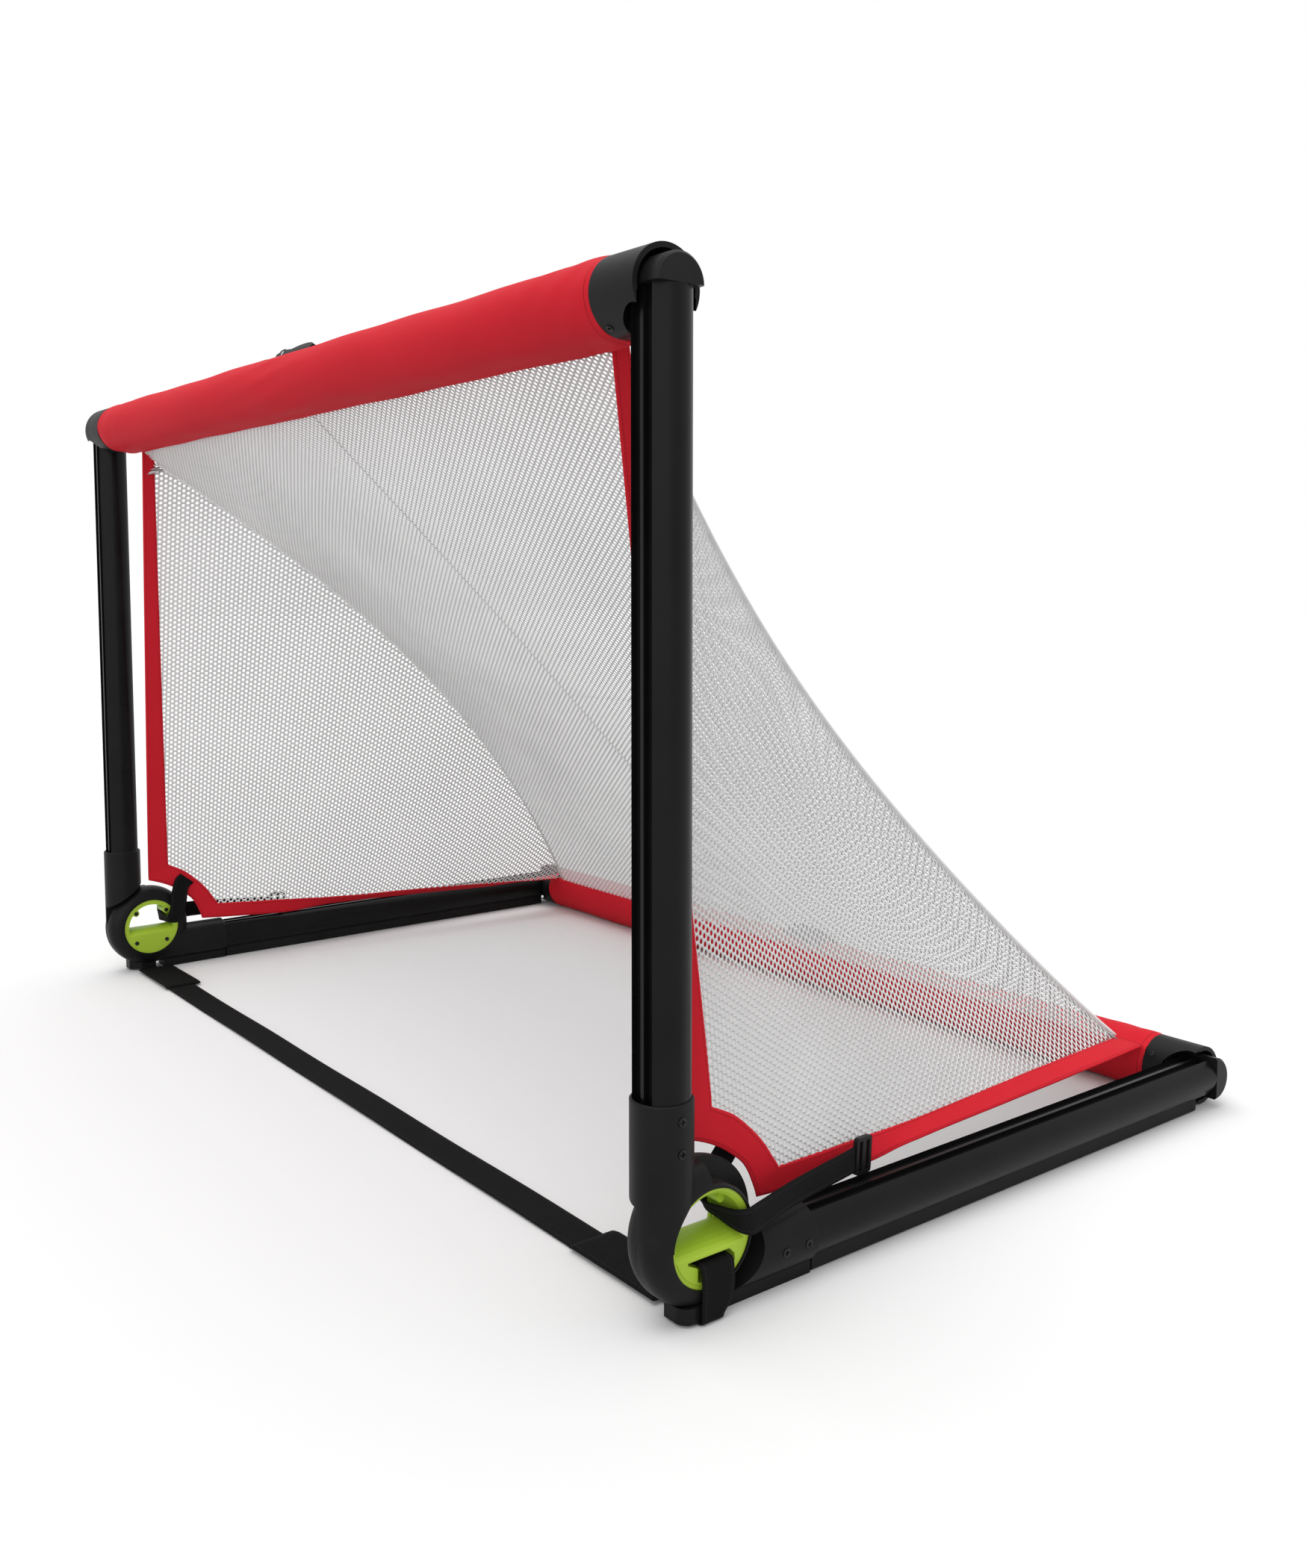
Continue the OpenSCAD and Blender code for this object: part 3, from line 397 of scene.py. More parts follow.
def bar_sleeve(name, x0, x1, axis_y, axis_z, seam_angle, seam_r, lock_x, opening):
    """Sleeve between two stations on X: a tube drawn to an edge at the net's seam.

    Angles turn about the bar from +Y over +Z. The opening over the lock is given by how many degrees
    it reaches from the lock's middle: to the front at its left and right end, and to the rear."""
    open_l, open_r = lock_x - LOCK_ROOM, lock_x + LOCK_ROOM
    stations = np.unique(np.round(np.concatenate([
        np.linspace(x0, x1, int((x1 - x0) / SLEEVE_STEP) + 2), [open_l, open_r]]), 6))
    stations = stations[(stations >= x0 - 1e-6) & (stations <= x1 + 1e-6)]
    rear_edge = LOCK_TURN - math.radians(opening[2])
    along = np.clip((stations - open_l) / (open_r - open_l), 0, 1)
    front_edge = LOCK_TURN + np.radians(opening[0] + (opening[1] - opening[0]) * along)
    # the ring starts at the opening's front edge, goes under the bar and comes back over the lock
    closed_steps, open_steps = 64, 18
    share = np.arange(closed_steps) / closed_steps
    below = front_edge[:, None] + (2 * math.pi + rear_edge - front_edge)[:, None] * share
    share = np.arange(open_steps) / open_steps
    above = 2 * math.pi + rear_edge + (front_edge - rear_edge)[:, None] * share
    angle = np.concatenate([below, above], 1)
    x = np.repeat(stations[:, None], angle.shape[1], 1)

    draw = math.acos(SLEEVE_R / seam_r)
    off_seam = np.abs((angle - math.radians(seam_angle) + math.pi) % (2 * math.pi) - math.pi)
    radius = SLEEVE_R / np.cos(np.clip(draw - off_seam, 0, None))
    from_end = np.minimum(SLEEVE_END - np.abs(x), 0.5)

    def ripple(depth, along_bar, round_bar, shift=0):
        """Soft wave in the cloth, so many radians to the metre of bar and to a radian round it."""
        return depth * np.sin(along_bar * x + round_bar * angle + shift)

    slack = ripple(0.00035, 21, 2) + ripple(0.0003, 47, -3, 1.3)
    pulls = ripple(0.0005, 160, 4) * np.exp(-from_end / END_FADE)
    lock_pulls = ripple(0.0006, 30, 9) * np.exp(-np.abs(x - lock_x) / LOCK_FADE)
    radius = radius + slack + pulls + lock_pulls - HEM_DRAW * np.exp(-from_end / HEM_FADE)
    points = np.stack([x, axis_y + radius * np.cos(angle), axis_z + radius * np.sin(angle)], -1)

    count = angle.shape[1]
    faces = []
    for i in range(len(stations) - 1):
        over_lock = open_l - 1e-6 < stations[i] < open_r - 1e-6
        for k in range(closed_steps if over_lock else count):
            after = (k + 1) % count
            faces.append([i * count + k, i * count + after,
                          (i + 1) * count + after, (i + 1) * count + k])
    to_opening = np.maximum(np.maximum(open_l - x, x - open_r), 0)
    beside = np.minimum((angle - front_edge[:, None]) % (2 * math.pi),
                        (2 * math.pi + rear_edge - angle) % (2 * math.pi)) * SLEEVE_R
    beside = np.where(np.arange(count) < closed_steps, beside, 0)
    edge_in = np.minimum(from_end, np.hypot(to_opening, beside))
    uv = np.stack([x, angle * SLEEVE_R], -1).reshape(-1, 2)
    made = cloth_object(name, points.reshape(-1, 3), faces, uv, edge_in.ravel())
    edit_all(made, bpy.ops.mesh.delete_loose, use_verts=True, use_edges=True, use_faces=False)
    first = made.data.polygons[0]
    outwards = first.center - Vector((first.center.x, axis_y, axis_z))
    wall = made.modifiers.new("wall", "SOLIDIFY")
    wall.thickness = SLEEVE_WALL
    wall.offset = 1 if first.normal.dot(outwards) < 0 else -1
    pick(made)
    bpy.ops.object.modifier_apply(modifier=wall.name)
    made.select_set(False)
    made.data.set_sharp_from_angle(angle=math.radians(50))
    made.data.materials.append(red_cloth)
    return made


# bar: its body, then the sleeve's seam angle, the seam's radius and the opening
BARS = {
    "crossbar": ("left_upright", -69, 0.0345, (52, 42, 48)),
    "rear": ("left_base", 139, 0.0312, (45, 63, 48)),
}
for bar, (body, seam_angle, seam_r, opening) in BARS.items():
    tube = f"{bar}_outer_tube"
    low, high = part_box(tube)
    axis_y, axis_z = (low.y + high.y) / 2, (low.z + high.z) / 2
    lock_low, lock_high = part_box(f"{bar}_lock_housing")
    lock_x = (lock_low.x + lock_high.x) / 2
    split = lock_x + LOCK_ROOM
    fixed, sliding = (
        bar_sleeve(f"{bar}_sleeve_{part}", x0, x1, axis_y, axis_z, seam_angle, seam_r, lock_x, opening)
        for part, x0, x1 in (("left", -SLEEVE_END, split), ("right", split, SLEEVE_END)))
    for piece in (fixed, sliding):
        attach(piece, body)
        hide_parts(f"{bar}_sleeve")
    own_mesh(sliding)


# ============================================================ NETTING
# White knitted polyester netting with hexagonal holes: one back panel between the two bars
# and a triangle at each side, sewn together along two seams that curve in as the net hangs.

HINGE_X, HINGE_Y, HINGE_Z = joints["fold_right"]["pos_m"]
# pitch of the cells across and down, size of a hole in its cell, and the thread's thickness
MESH_ACROSS, MESH_DOWN, HOLE, THREAD = 0.0047, 0.0062, 0.58, 0.0014
# length of the back panel, half its width, how far its seams draw in, and how far it sags
SLOPE, HALF_WIDTH, DRAW_IN, SAG = 0.92, 0.52, 0.132, 0.014
HALF_SLOPE = SLOPE / 2
# top of the seam, how far it runs in, back and down from there, and how far it bulges up
SEAM_X, SEAM_Y, SEAM_Z = 0.5154, HINGE_Y - 0.014, 0.691
SEAM_IN, SEAM_BACK, SEAM_DOWN, SEAM_BULGE = 0.010, 0.650, 0.641, 0.038
# how round the draw-in is, and how much it leans to the rear bar
DRAW_ROUND, DRAW_LEAN = 0.85, 1.1
# share of the side panel's reach, from its corner at the hub, that lies flat
FLAT_SHARE = 0.11


def seam_line(s):
    """Seam of the back panel with the right side, from the crossbar (0) to the rear bar (1)."""
    swing = np.sin(np.pi * np.clip(s, 0, 1) ** DRAW_LEAN)
    draw_in = DRAW_IN * np.clip(swing, 0, None) ** DRAW_ROUND
    return np.stack([SEAM_X - SEAM_IN * s - draw_in,
                     SEAM_Y + SEAM_BACK * s,
                     SEAM_Z - SEAM_DOWN * s + SEAM_BULGE * np.sin(np.pi * s)], -1)


def back_surface(x, v):
    """Point of the back panel at x across and v down its slope, in metres."""
    s = v / SLOPE
    seam = seam_line(s)
    a = x / seam[..., 0]
    sag = SAG * (1 - a * a) * np.sin(np.pi * np.clip(s, 0, 1))
    return np.stack([x, seam[..., 1] - sag, seam[..., 2] - sag], -1)


# corner of the side panel at the hub, and the direction of each place on the seam from it
CORNER_X, CORNER_Y, CORNER_Z = 0.566, HINGE_Y + 0.025, 0.085
SEAM_STEPS = np.linspace(0, 1, 400)
_, seam_y, seam_z = seam_line(SEAM_STEPS).T
SEAM_TURN = np.arctan2(seam_z - CORNER_Z, seam_y - CORNER_Y)


def side_surface(y, z):
    """Point of the right side panel at a place in the side plane.

    Rays from the panel's corner at the hub end on the seam. The panel lies flat near the corner
    and bows in on its way to the seam."""
    s = np.interp(-np.arctan2(z - CORNER_Z, y - CORNER_Y), -SEAM_TURN, SEAM_STEPS)
    seam = seam_line(s)
    reach = np.hypot(seam[..., 1] - CORNER_Y, seam[..., 2] - CORNER_Z)
    r = np.hypot(y - CORNER_Y, z - CORNER_Z) / reach
    r = np.clip((r - FLAT_SHARE) / (1 - FLAT_SHARE), 0, None)
    bow = DRAW_IN * np.clip(np.sin(np.pi * s), 0, None) ** DRAW_ROUND * (r - r ** 1.5)
    return np.stack([CORNER_X + (seam[..., 0] - CORNER_X) * r + bow, y, z], -1)


def smooth_path(points, spacing=0.006):
    """Points of a Catmull-Rom curve through the given ones, evenly spaced."""
    p = np.asarray(points, float)
    p = np.concatenate([2 * p[:1] - p[1:2], p, 2 * p[-1:] - p[-2:-1]])
    out = []
    for a, b, c, d in zip(p[:-3], p[1:-2], p[2:-1], p[3:]):
        t = np.linspace(0, 1, 24, endpoint=False)[:, None].reshape(-1, *([1] * a.ndim))
        out.append(0.5 * (2 * b + (c - a) * t + (2 * a - 5 * b + 4 * c - d) * t ** 2
                          + (3 * b - a - 3 * c + d) * t ** 3))
    out.append(p[-2][None])
    fine = np.concatenate(out)
    middle = fine.mean(1) if fine.ndim == 3 else fine
    travelled = np.concatenate([[0], np.cumsum(np.linalg.norm(np.diff(middle, axis=0), axis=1))])
    wanted = np.linspace(0, travelled[-1], max(int(travelled[-1] / spacing), 4) + 1)
    columns = [np.interp(wanted, travelled, column) for column in fine.reshape(len(fine), -1).T]
    return np.stack(columns, 1).reshape(len(wanted), *fine.shape[1:])


# rungs across the right border's tape, from its outer to its net edge: each end is y behind the
# hinge and z over the floor, in millimetres, and the outer edge of the low run has its own x
FRONT_TOP, FRONT_LOW = ((-14, 694), (1, 703)), ((0, 122), (27.3, 140.4))
ARC = [((13, 117.6), (32, 138)), ((24.2, 113), (40, 134)), ((35.5, 107), (49, 129)),
       ((47, 99), (61, 119.4)), ((57, 90.7), (73.7, 107)), ((62.9, 82.7), (82, 97)),
       ((67.2, 73.8), (89.3, 86.2)), ((70.7, 65.2), (93.5, 80.3))]
LOW = [((72.4, 59.5), (95.5, 77.4)), ((130, 55), (140, 74.6)), ((200, 51.5), (190, 71.7)),
       ((263, 55), (280, 66)), ((397, 53), (423, 62.2)), ((520, 49.9), (521, 58.2)),
       ((635, 52), (633, 53))]
LOW_OUTER_X = [566, 565, 561, 559.5, 549, 537, 533]


def border_outline():
    """Edge pairs of the right border's tape: down the mouth, round the hub, along the floor."""
    share = np.linspace(0, 1, 90)[:, None, None]
    front = np.array(FRONT_TOP) * (1 - share) + np.array(FRONT_LOW) * share
    arc = smooth_path([FRONT_LOW, *ARC, LOW[0]], 3)[1:-1]
    low = smooth_path(LOW, 6)
    flat = np.concatenate([front, arc, low])
    place_y, place_z = HINGE_Y + flat[..., 0] / 1000, flat[..., 1] / 1000
    on_net = side_surface(place_y[:, 1], place_z[:, 1])
    outer_x = np.interp(flat[:, 0, 0], [outer[0] for outer, _ in LOW], LOW_OUTER_X) / 1000
    outer_x[:len(front)] = on_net[:len(front), 0]
    return np.stack([np.stack([outer_x, on_net[:, 0]], 1), place_y, place_z], -1)


BORDER_EDGES = border_outline()
# stretch of the seam that edges the side panel, from its low end up
SIDE_SEAM = seam_line(np.linspace(0.998, 0.026, 120))[:, 1:]


def in_side_panel(y, z, overlap):
    """Whether places in the side plane lie in the side panel.

    The panel goes under the tape by this share of the tape's width."""
    tape = (overlap * BORDER_EDGES[:, 0] + (1 - overlap) * BORDER_EDGES[:, 1])[:, 1:]
    ring = np.concatenate([tape, SIDE_SEAM])
    inside = np.zeros(len(y), bool)
    for (y0, z0), (y1, z1) in zip(ring, np.roll(ring, -1, 0)):
        if z0 != z1:
            inside ^= ((z0 > z) != (z1 > z)) & (y < (y1 - y0) * (z - z0) / (z1 - z0) + y0)
    return inside


def side_cloth(y, z):
    """Point of the right side panel, which lies in its tape where it is past the tape's net edge."""
    place = side_surface(y, z)
    sewn_depth, chunk = 0.014, 4000
    by_mouth, by_floor, by_hub = 0.034, 0.082, 0.12
    by_tape = ((y < HINGE_Y + by_mouth) | (z < by_floor)
               | (np.hypot(y - HINGE_Y, z - HINGE_Z) < by_hub))
    past = np.flatnonzero(by_tape & ~in_side_panel(y, z, 0))
    edge, across = BORDER_EDGES[:, 1], BORDER_EDGES[:, 0] - BORDER_EDGES[:, 1]
    across = across / np.linalg.norm(across, axis=1, keepdims=True)
    step = np.diff(edge[:, 1:], axis=0)
    for part in np.array_split(past, len(past) // chunk + 1):
        offset = place[part, None, 1:] - edge[None, :-1, 1:]
        share = np.clip((offset * step).sum(-1) / (step ** 2).sum(1), 0, 1)
        away = np.linalg.norm(offset - share[..., None] * step, axis=-1)
        rung = away.argmin(1)
        nearest = (np.arange(len(part)), rung)
        share, away = share[nearest][:, None], away[nearest][:, None]
        sewn = (edge[rung] + share * (edge[rung + 1] - edge[rung])
                + away * (across[rung] + share * (across[rung + 1] - across[rung])))
        place[part] = np.where(away < sewn_depth, sewn, place[part])
    return place


def netting(name, surface, inside, u_range, v_range, mirror_x=False):
    """Hexagonal netting on surface(u, v), with a cell wherever inside(u, v) holds at its middle."""
    columns = int((u_range[1] - u_range[0]) / MESH_ACROSS) + 1
    rows = int((v_range[1] - v_range[0]) / (MESH_DOWN / 2)) + 2
    i, j = np.meshgrid(np.arange(columns + 1), np.arange(rows + 1), indexing="ij")
    lean = np.where((i + j) % 2 == 0, 1, -1) / 6
    u = (u_range[0] + (i + lean) * MESH_ACROSS).ravel()
    v = (v_range[0] + j * MESH_DOWN / 2).ravel()
    ci = np.concatenate([np.full(len(range(c % 2, rows - 1, 2)), c) for c in range(columns)])
    cj = np.concatenate([np.arange(c % 2, rows - 1, 2) for c in range(columns)])
    step = rows + 1
    corners = np.stack([ci * step + cj, (ci + 1) * step + cj, (ci + 1) * step + cj + 1,
                        (ci + 1) * step + cj + 2, ci * step + cj + 2, ci * step + cj + 1], 1)
    mid_u, mid_v = u[corners].mean(1), v[corners].mean(1)
    corners = corners[inside(mid_u, mid_v)]
    used, corners = np.unique(corners, return_inverse=True)
    corners = corners.reshape(-1, 6)
    u, v = u[used], v[used]
    mid_u, mid_v = u[corners].mean(1, keepdims=True), v[corners].mean(1, keepdims=True)
    hole_u = (mid_u + (u[corners] - mid_u) * HOLE).ravel()
    hole_v = (mid_v + (v[corners] - mid_v) * HOLE).ravel()
    tiny = 1e-4
    place = surface(u, v)
    normal = np.cross(surface(u + tiny, v) - place, surface(u, v + tiny) - place)
    normal /= np.linalg.norm(normal, axis=1, keepdims=True)
    n, cells = len(u), len(corners)
    points = np.concatenate([place + normal * THREAD / 2, place - normal * THREAD / 2,
                             surface(hole_u, hole_v)])
    ring = 2 * n + np.arange(cells * 6).reshape(-1, 6)
    nxt, ring_nxt = np.roll(corners, -1, 1), np.roll(ring, -1, 1)
    front = np.stack([corners, nxt, ring_nxt, ring], -1).reshape(-1, 4)
    back = np.stack([nxt + n, corners + n, ring, ring_nxt], -1).reshape(-1, 4)
    key = np.minimum(corners, nxt) * n + np.maximum(corners, nxt)
    _, first, uses = np.unique(key.ravel(), return_index=True, return_counts=True)
    lone = first[uses == 1]
    a, b = corners.ravel()[lone], nxt.ravel()[lone]
    rim = np.stack([b, a, a + n, b + n], -1)
    faces = np.concatenate([front, back, rim])
    if mirror_x:
        points = points * np.array([-1, 1, 1])
        faces = faces[:, ::-1]
    uv = np.stack([np.concatenate([u, u, hole_u]), np.concatenate([v, v, hole_v])], -1)
    made = cloth_object(name, points, faces, uv, np.full(len(points), 0.1))
    made.data.materials.append(net_white)
    return made, cells * MESH_ACROSS * MESH_DOWN


# white that turns a touch grey in soft patches
net_white = hard_finish("white_netting", (0.77, 0.77, 0.77, 1), (0.84, 0.84, 0.84, 1),
                        rough=(0.55, 0.55), grain_scale=2600, grain_depth=0.0002, grain=0.4,
                        patch_scale=7, specular=0.2)


def hang(piece, stands_for):
    """Net or border: its placement is baked into its mesh, and the part it stands for is hidden."""
    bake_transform(piece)
    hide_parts(stands_for)


def in_back_panel(x, v, end_row):
    """Whether places on the back panel's right half lie in it.

    It stops short of its seam, the more so at its top, where the border's tape begins."""
    short = np.select([v < 0.014, v < 0.035], [0.014, 0.0045], 0.001)
    return (x > 0) & (v < end_row) & (x < seam_line(v / SLOPE)[..., 0] - short)


# flat size of the side panel, its top, and the share of the tape's width that it goes under
SIDE_FLAT, SIDE_TOP, UNDER_TAPE = (0.66, 0.64), 0.682, 0.2
# part of the side plane that the side panel is cut from
SIDE_Y, SIDE_Z = (HINGE_Y - 0.03, HINGE_Y + 0.65), (0.04, 0.70)
for side, sign in SIDES.items():
    for part, v0, v1 in (("upper", 0.0, HALF_SLOPE), ("lower", HALF_SLOPE, SLOPE)):
        start_row = round(v0 / MESH_DOWN) * MESH_DOWN
        # the upper part ends on a whole row, where the lower one begins
        end_row = (v1 if part == "lower" else round(v1 / MESH_DOWN) * MESH_DOWN) + 0.0001
        panel, cloth_area = netting(f"back_net_{part}_{side}", back_surface,
                                    lambda x, v: in_back_panel(x, v, end_row),
                                    (0.0, HALF_WIDTH), (start_row, v1), mirror_x=sign < 0)
        hang(panel, "back_net")

    panel, cloth_area = netting(f"{side}_side_net_cloth", side_cloth,
                                lambda y, z: in_side_panel(y, z, UNDER_TAPE) & (z < SIDE_TOP),
                                SIDE_Y, SIDE_Z, mirror_x=sign < 0)
    hang(panel, f"{side}_side_net")


# ============================================================ NET SEAMS AND BORDERS
# The panels meet in a white overlocked seam. Red polyester tape, folded over the net's edge and
# sewn twice, borders each mouth edge, turns round the hub in an arc and runs along the floor.


def band(name, pairs, thickness, material, mirror_x=False):
    """Flat band between two edges, given as pairs of points, with soft rims and closed ends.

    Returns the object, its length, its greatest width and its area."""
    edges = np.asarray(pairs, float)
    a, b = edges[:, 0], edges[:, 1]
    along = np.gradient(edges.mean(1), axis=0)
    normal = np.cross(along, b - a)
    normal /= np.linalg.norm(normal, axis=1, keepdims=True)
    width = np.linalg.norm(b - a, axis=1)
    # places across the band and its thickness there: thin rims, full beside them, a flat middle
    share = np.array([0, 0.05, 0.15, 0.38, 0.62, 0.85, 0.95, 1])
    height = thickness / 2 * np.array([0.35, 0.9, 1, 0.85, 0.85, 1, 0.9, 0.35])
    middle = a[:, None] + share[None, :, None] * (b - a)[:, None]
    raised = normal[:, None] * height[None, :, None]
    ring = np.concatenate([middle + raised, (middle - raised)[:, ::-1]], 1)
    count, around = ring.shape[:2]
    points = ring.reshape(-1, 3)
    faces = []
    for i in range(count - 1):
        for k in range(around):
            after = (k + 1) % around
            faces.append([i * around + k, i * around + after,
                          (i + 1) * around + after, (i + 1) * around + k])
    faces.append(list(range(around))[::-1])
    faces.append([(count - 1) * around + k for k in range(around)])
    steps = np.linalg.norm(np.diff(edges.mean(1), axis=0), axis=1)
    travelled = np.concatenate([[0], np.cumsum(steps)])
    shares = np.concatenate([share, share[::-1]])
    uv = np.stack([np.repeat(travelled[:, None], around, 1), shares[None] * width[:, None]], -1)
    edge_in = (np.minimum(shares, 1 - shares)[None] * width[:, None]).ravel()
    if mirror_x:
        points = points * np.array([-1, 1, 1])
        faces = [face[::-1] for face in faces]
    made = cloth_object(name, points, faces, uv.reshape(-1, 2), edge_in)
    made.data.materials.append(material)
    edit_all(made, bpy.ops.mesh.normals_make_consistent, inside=False)
    area = float((width[:-1] * np.diff(travelled)).sum())
    return made, float(travelled[-1]), float(width.max()), area


border_red = cloth_finish("red_border", RED, RED_SHADE_AND_TONE, RED_THREAD, threads=1500, depth=0.00010,
                          rough=0.62, row=0.0028)
# second colour: painted shade in the gaps between threads, and darker random tone
seam_white = cloth_finish("white_seam", (0.90, 0.90, 0.90, 1), (0.86, 0.86, 0.86, 1),
                          (0.80, 0.80, 0.80, 1), threads=900, depth=0.00008, rough=0.8, row=0.0015)
# width that a seam is cut from, and thickness of a seam or of the folded tape
SEAM_CUT, SEWN_THICKNESS = 0.012, 0.0026
# overlocked stretch of the seam, and from its middle to its edge
SEAM_MIDDLE, SEAM_HALF = seam_line(np.linspace(0.030, 0.994, 160)), np.array([0.0035, 0.0, 0.0025])
SEAM_EDGES = np.stack([SEAM_MIDDLE - SEAM_HALF, SEAM_MIDDLE + SEAM_HALF], 1)
for side, sign in SIDES.items():
    seam, length, _, area = band(f"{side}_net_seam", SEAM_EDGES, SEWN_THICKNESS, seam_white,
                                 mirror_x=sign < 0)
    hang(seam, "back_net")
    border, length, width, area = band(f"{side}_border_tape", BORDER_EDGES, SEWN_THICKNESS,
                                       border_red, mirror_x=sign < 0)
    hang(border, f"{side}_net_border")


# ============================================================ WEBBING
# Black polyester webbing: the strap across the floor, a sewn cuff and an end at each hub,
# and a tie strap that pulls the border's corner to the hub through the bush's window.

# second colour: painted shade in the gaps between threads, and darker random tone
webbing = cloth_finish("black_webbing", (0.0095, 0.0095, 0.0098, 1), (0.004, 0.004, 0.004, 1),
                       (0.018, 0.018, 0.018, 1), threads=620, depth=0.00035, rough=0.75, row=0.003)
STRAP_THICKNESS, CUFF_THICKNESS, END_THICKNESS, TIE_THICKNESS = 0.0017, 0.0026, 0.002, 0.0018


def lay(piece, side, node):
    """Webbing that rides on one side's base."""
    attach(piece, f"{side}_base")
    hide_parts(node)


low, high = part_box("floor_strap")
mid_z = (low.z + high.z) / 2
xs = np.linspace(low.x, high.x, 160)
# the strap lies on the floor in shallow waves
lift = 0.0004 * np.sin(23 * xs) + 0.0004
floor_pairs = np.stack([np.stack([xs, np.full_like(xs, edge_y), mid_z + lift], -1)
                        for edge_y in (low.y, high.y)], 1)
strap, *_ = band("floor_strap_webbing", floor_pairs, STRAP_THICKNESS, webbing)
lay(strap, "left", "floor_strap")
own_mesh(strap)

POCKET_Z = HINGE_Z - 0.017
# the end's run under the foot, up the outside and into the pocket: x from the hub's middle, and z
END_RUN = [(-0.023, 0.001), (-0.005, 0.001), (0.019, 0.001), (0.022, 0.002), (0.023, 0.005),
           (0.023, 0.012), (0.0236, 0.024), (0.023, POCKET_Z - 0.006), (0.022, POCKET_Z - 0.001),
           (0.019, POCKET_Z), (0.010, POCKET_Z), (0.003, POCKET_Z)]
# on the floor the end is narrower than up the hub, and it widens between two heights
END_NARROW, WIDEN_LOW, WIDEN_HIGH = 0.009, 0.005, 0.015
# the tie's run down from the border, through the window and back along the tube to its buckle:
# rungs between its edges, each end x from the middle, y behind the hinge and z, in millimetres
TIE_RUN = [((563.5, 43, 126), (563.5, 61, 111.5)), ((563, 38, 119), (562.5, 56, 105)),
           ((557, 30, 100), (557, 51, 88)), ((553, 24, 84), (553, 43, 72)),
           ((554, 21, 74), (553, 36, 63)), ((562, 22.5, 69), (560, 27, 61)),
           ((579, 22.5, 71.5), (578, 25, 60)), ((592, 21.8, 74), (591, 24, 59)),
           ((601, 22.5, 76), (601.5, 26, 57.5)), ((604.5, 29, 76.5), (605, 34, 55.5)),
           ((602.5, 42, 77.5), (602.5, 46, 56)), ((592, 88, 78.3), (592, 89, 58)),
           ((573, 166, 75), (573, 167, 54)), ((570.5, 172, 75), (570.5, 173, 54))]
# rungs where the tie is slack, and how far each side's slack is pulled to the rear
TIE_SLACK, TIE_PULL = slice(1, 3), {"left": -3, "right": 5}
for side, sign in SIDES.items():
    # the strap's end is folded over and box-stitched round the webbing end
    low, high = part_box(f"{side}_strap_cuff")
    inner, outer = (low.x, high.x) if sign > 0 else (-high.x, -low.x)
    cuff_path = [((x, low.y, z), (x, high.y, z)) for x, z in (
        (inner, 0.0031), (inner + 0.006, 0.0042), (inner + 0.050, 0.0040), (outer - 0.004, 0.0037),
        (outer, 0.0035))]
    cuff, length, width, _ = band(f"{side}_cuff_webbing", smooth_path(cuff_path), CUFF_THICKNESS,
                                  webbing, mirror_x=sign < 0)
    lay(cuff, side, f"{side}_strap_cuff")

    low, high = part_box(f"{side}_strap_end")
    end_path = []
    for x, z in END_RUN:
        narrow = END_NARROW * min(max((WIDEN_HIGH - z) / (WIDEN_HIGH - WIDEN_LOW), 0), 1)
        end_path.append(((HINGE_X + x, low.y, z), (HINGE_X + x, high.y - narrow, z)))
    end, length, width, _ = band(f"{side}_strap_end_webbing", smooth_path(end_path, 0.0025),
                                 END_THICKNESS, webbing, mirror_x=sign < 0)
    lay(end, side, f"{side}_strap_end")

    tie_path = np.array(TIE_RUN, float)
    tie_path[TIE_SLACK, :, 1] += TIE_PULL[side]
    tie_path = tie_path / 1000 + np.array([0, HINGE_Y, 0])
    tie, length, width, area = band(f"{side}_tie_webbing", smooth_path(tie_path, 0.003),
                                    TIE_THICKNESS, webbing, mirror_x=sign < 0)
    lay(tie, side, f"{side}_tie_strap")
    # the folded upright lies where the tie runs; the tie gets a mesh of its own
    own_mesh(tie)
    dress(nylon_cap, f"{side}_tie_buckle")


# ============================================================ STAGE
# Pale floor that fades into a white backdrop, under two broad lights and an even fill. The
# camera stands at the goal's right front.

bpy.ops.object.select_all(action="DESELECT")
bpy.ops.mesh.primitive_plane_add(size=40, location=(0, 0, -0.0005))
floor = bpy.context.object
floor.name = "floor"
floor_paint, paint, paint_shader = new_finish("pale_floor", Roughness=1.0, Specular_IOR_Level=0.0)


def seen_directly(tree):
    """1 for rays from the camera, from a glossy surface or through a clear one, and 0 for others."""
    rays = tree.nodes.new("ShaderNodeLightPath").outputs
    mirrored = math_node(tree, "MAXIMUM", rays["Is Camera Ray"], rays["Is Glossy Ray"])
    return math_node(tree, "MAXIMUM", mirrored, rays["Is Transmission Ray"])


BOUNCE, FILL = 0.55, 0.56
pale = mix_colours(paint, seen_directly(paint), (BOUNCE, BOUNCE, BOUNCE, 1), (1, 1, 1, 1))
paint.links.new(pale, paint_shader.inputs["Base Color"])
floor.data.materials.append(floor_paint)

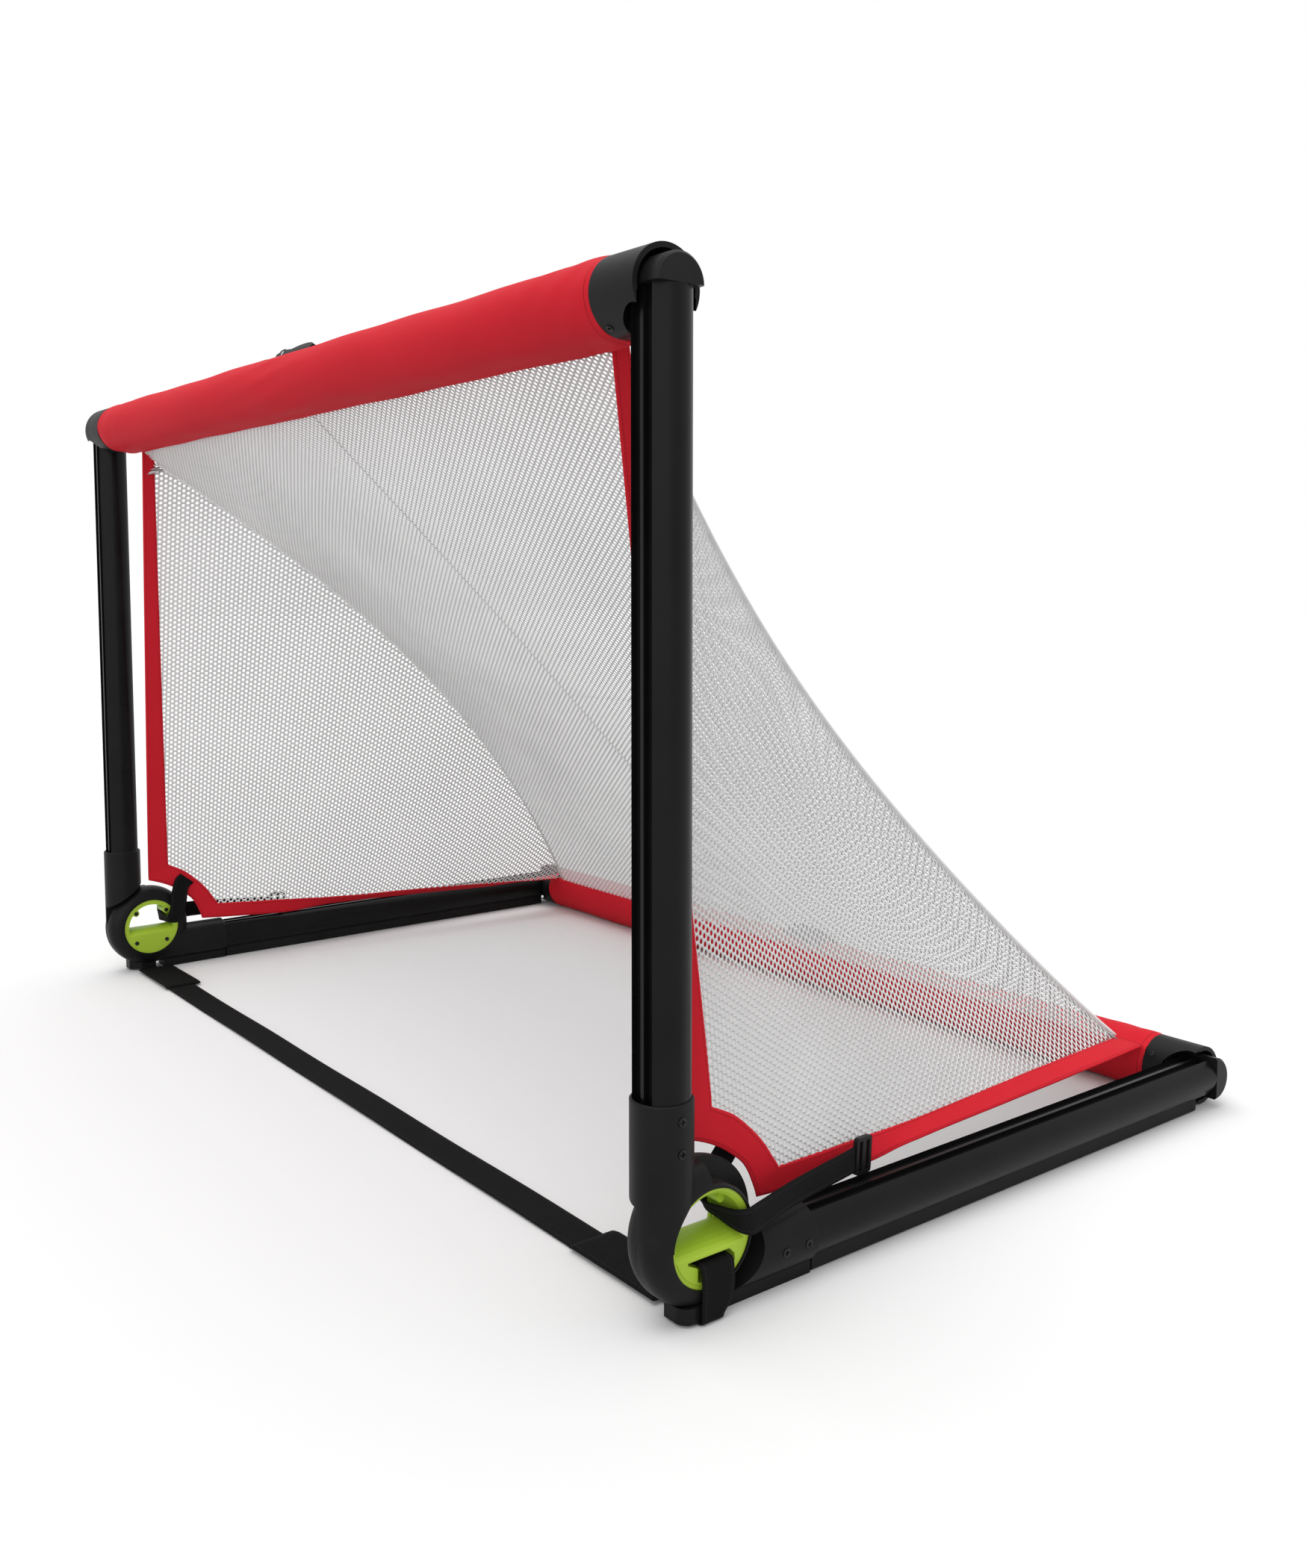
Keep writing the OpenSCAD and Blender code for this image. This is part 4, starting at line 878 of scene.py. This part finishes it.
world = bpy.data.worlds.new("studio")
bpy.context.scene.world = world
world.use_nodes = True
sky = world.node_tree
backdrop = sky.nodes["Background"]
backdrop.inputs["Color"].default_value = (1, 1, 1, 1)
fill = sky.nodes.new("ShaderNodeBackground")
fill.inputs["Color"].default_value = (1, 1, 1, 1)
fill.inputs["Strength"].default_value = FILL
choose = sky.nodes.new("ShaderNodeMixShader")
sky.links.new(seen_directly(sky), choose.inputs["Fac"])
sky.links.new(fill.outputs["Background"], choose.inputs[1])
sky.links.new(backdrop.outputs["Background"], choose.inputs[2])
sky.links.new(choose.outputs["Shader"], sky.nodes["World Output"].inputs["Surface"])


def soft_sun(name, place, strength, spread):
    """Broad even light that shines from a place towards the origin."""
    data = bpy.data.lights.new(name, "SUN")
    data.energy, data.angle = strength, math.radians(spread)
    lamp = bpy.data.objects.new(name, data)
    bpy.context.scene.collection.objects.link(lamp)
    lamp.rotation_euler = Vector(place).to_track_quat("Z", "Y").to_euler()


soft_sun("key", (-0.3, 0.0, 2.0), 1.25, 60)
soft_sun("side", (1.6, -1.5, 0.7), 1.10, 80)

# the eye, its turn in radians, and the picture's size, focal length and centre in pixels
EYE = (1.3323, HINGE_Y - 0.63465, 0.5237)
YAW, PITCH, ROLL = 0.911, -0.080, 0.001
FRAME_W, FRAME_H = 1750, 2100
FOCAL_PX, CENTRE_X, CENTRE_Y = 1897.6, 854.8, 931.1
SENSOR_MM = 36
turn = (Matrix.Rotation(YAW, 3, "Z") @ Matrix.Rotation(PITCH, 3, "X")
        @ Matrix.Rotation(ROLL, 3, "Y"))
right, forward, up = turn.col
lens = bpy.data.cameras.new("camera")
lens.sensor_fit = "HORIZONTAL"
lens.sensor_width = SENSOR_MM
lens.lens = FOCAL_PX / FRAME_W * SENSOR_MM
lens.shift_x = (FRAME_W / 2 - CENTRE_X) / FRAME_W
lens.shift_y = -(FRAME_H / 2 - CENTRE_Y) / FRAME_W
camera = bpy.data.objects.new("camera", lens)
bpy.context.scene.collection.objects.link(camera)
camera.matrix_world = Matrix([[right[k], up[k], -forward[k], EYE[k]] for k in range(3)]
                             + [[0, 0, 0, 1]])
bpy.context.scene.camera = camera
bpy.context.scene.view_settings.view_transform = "Standard"
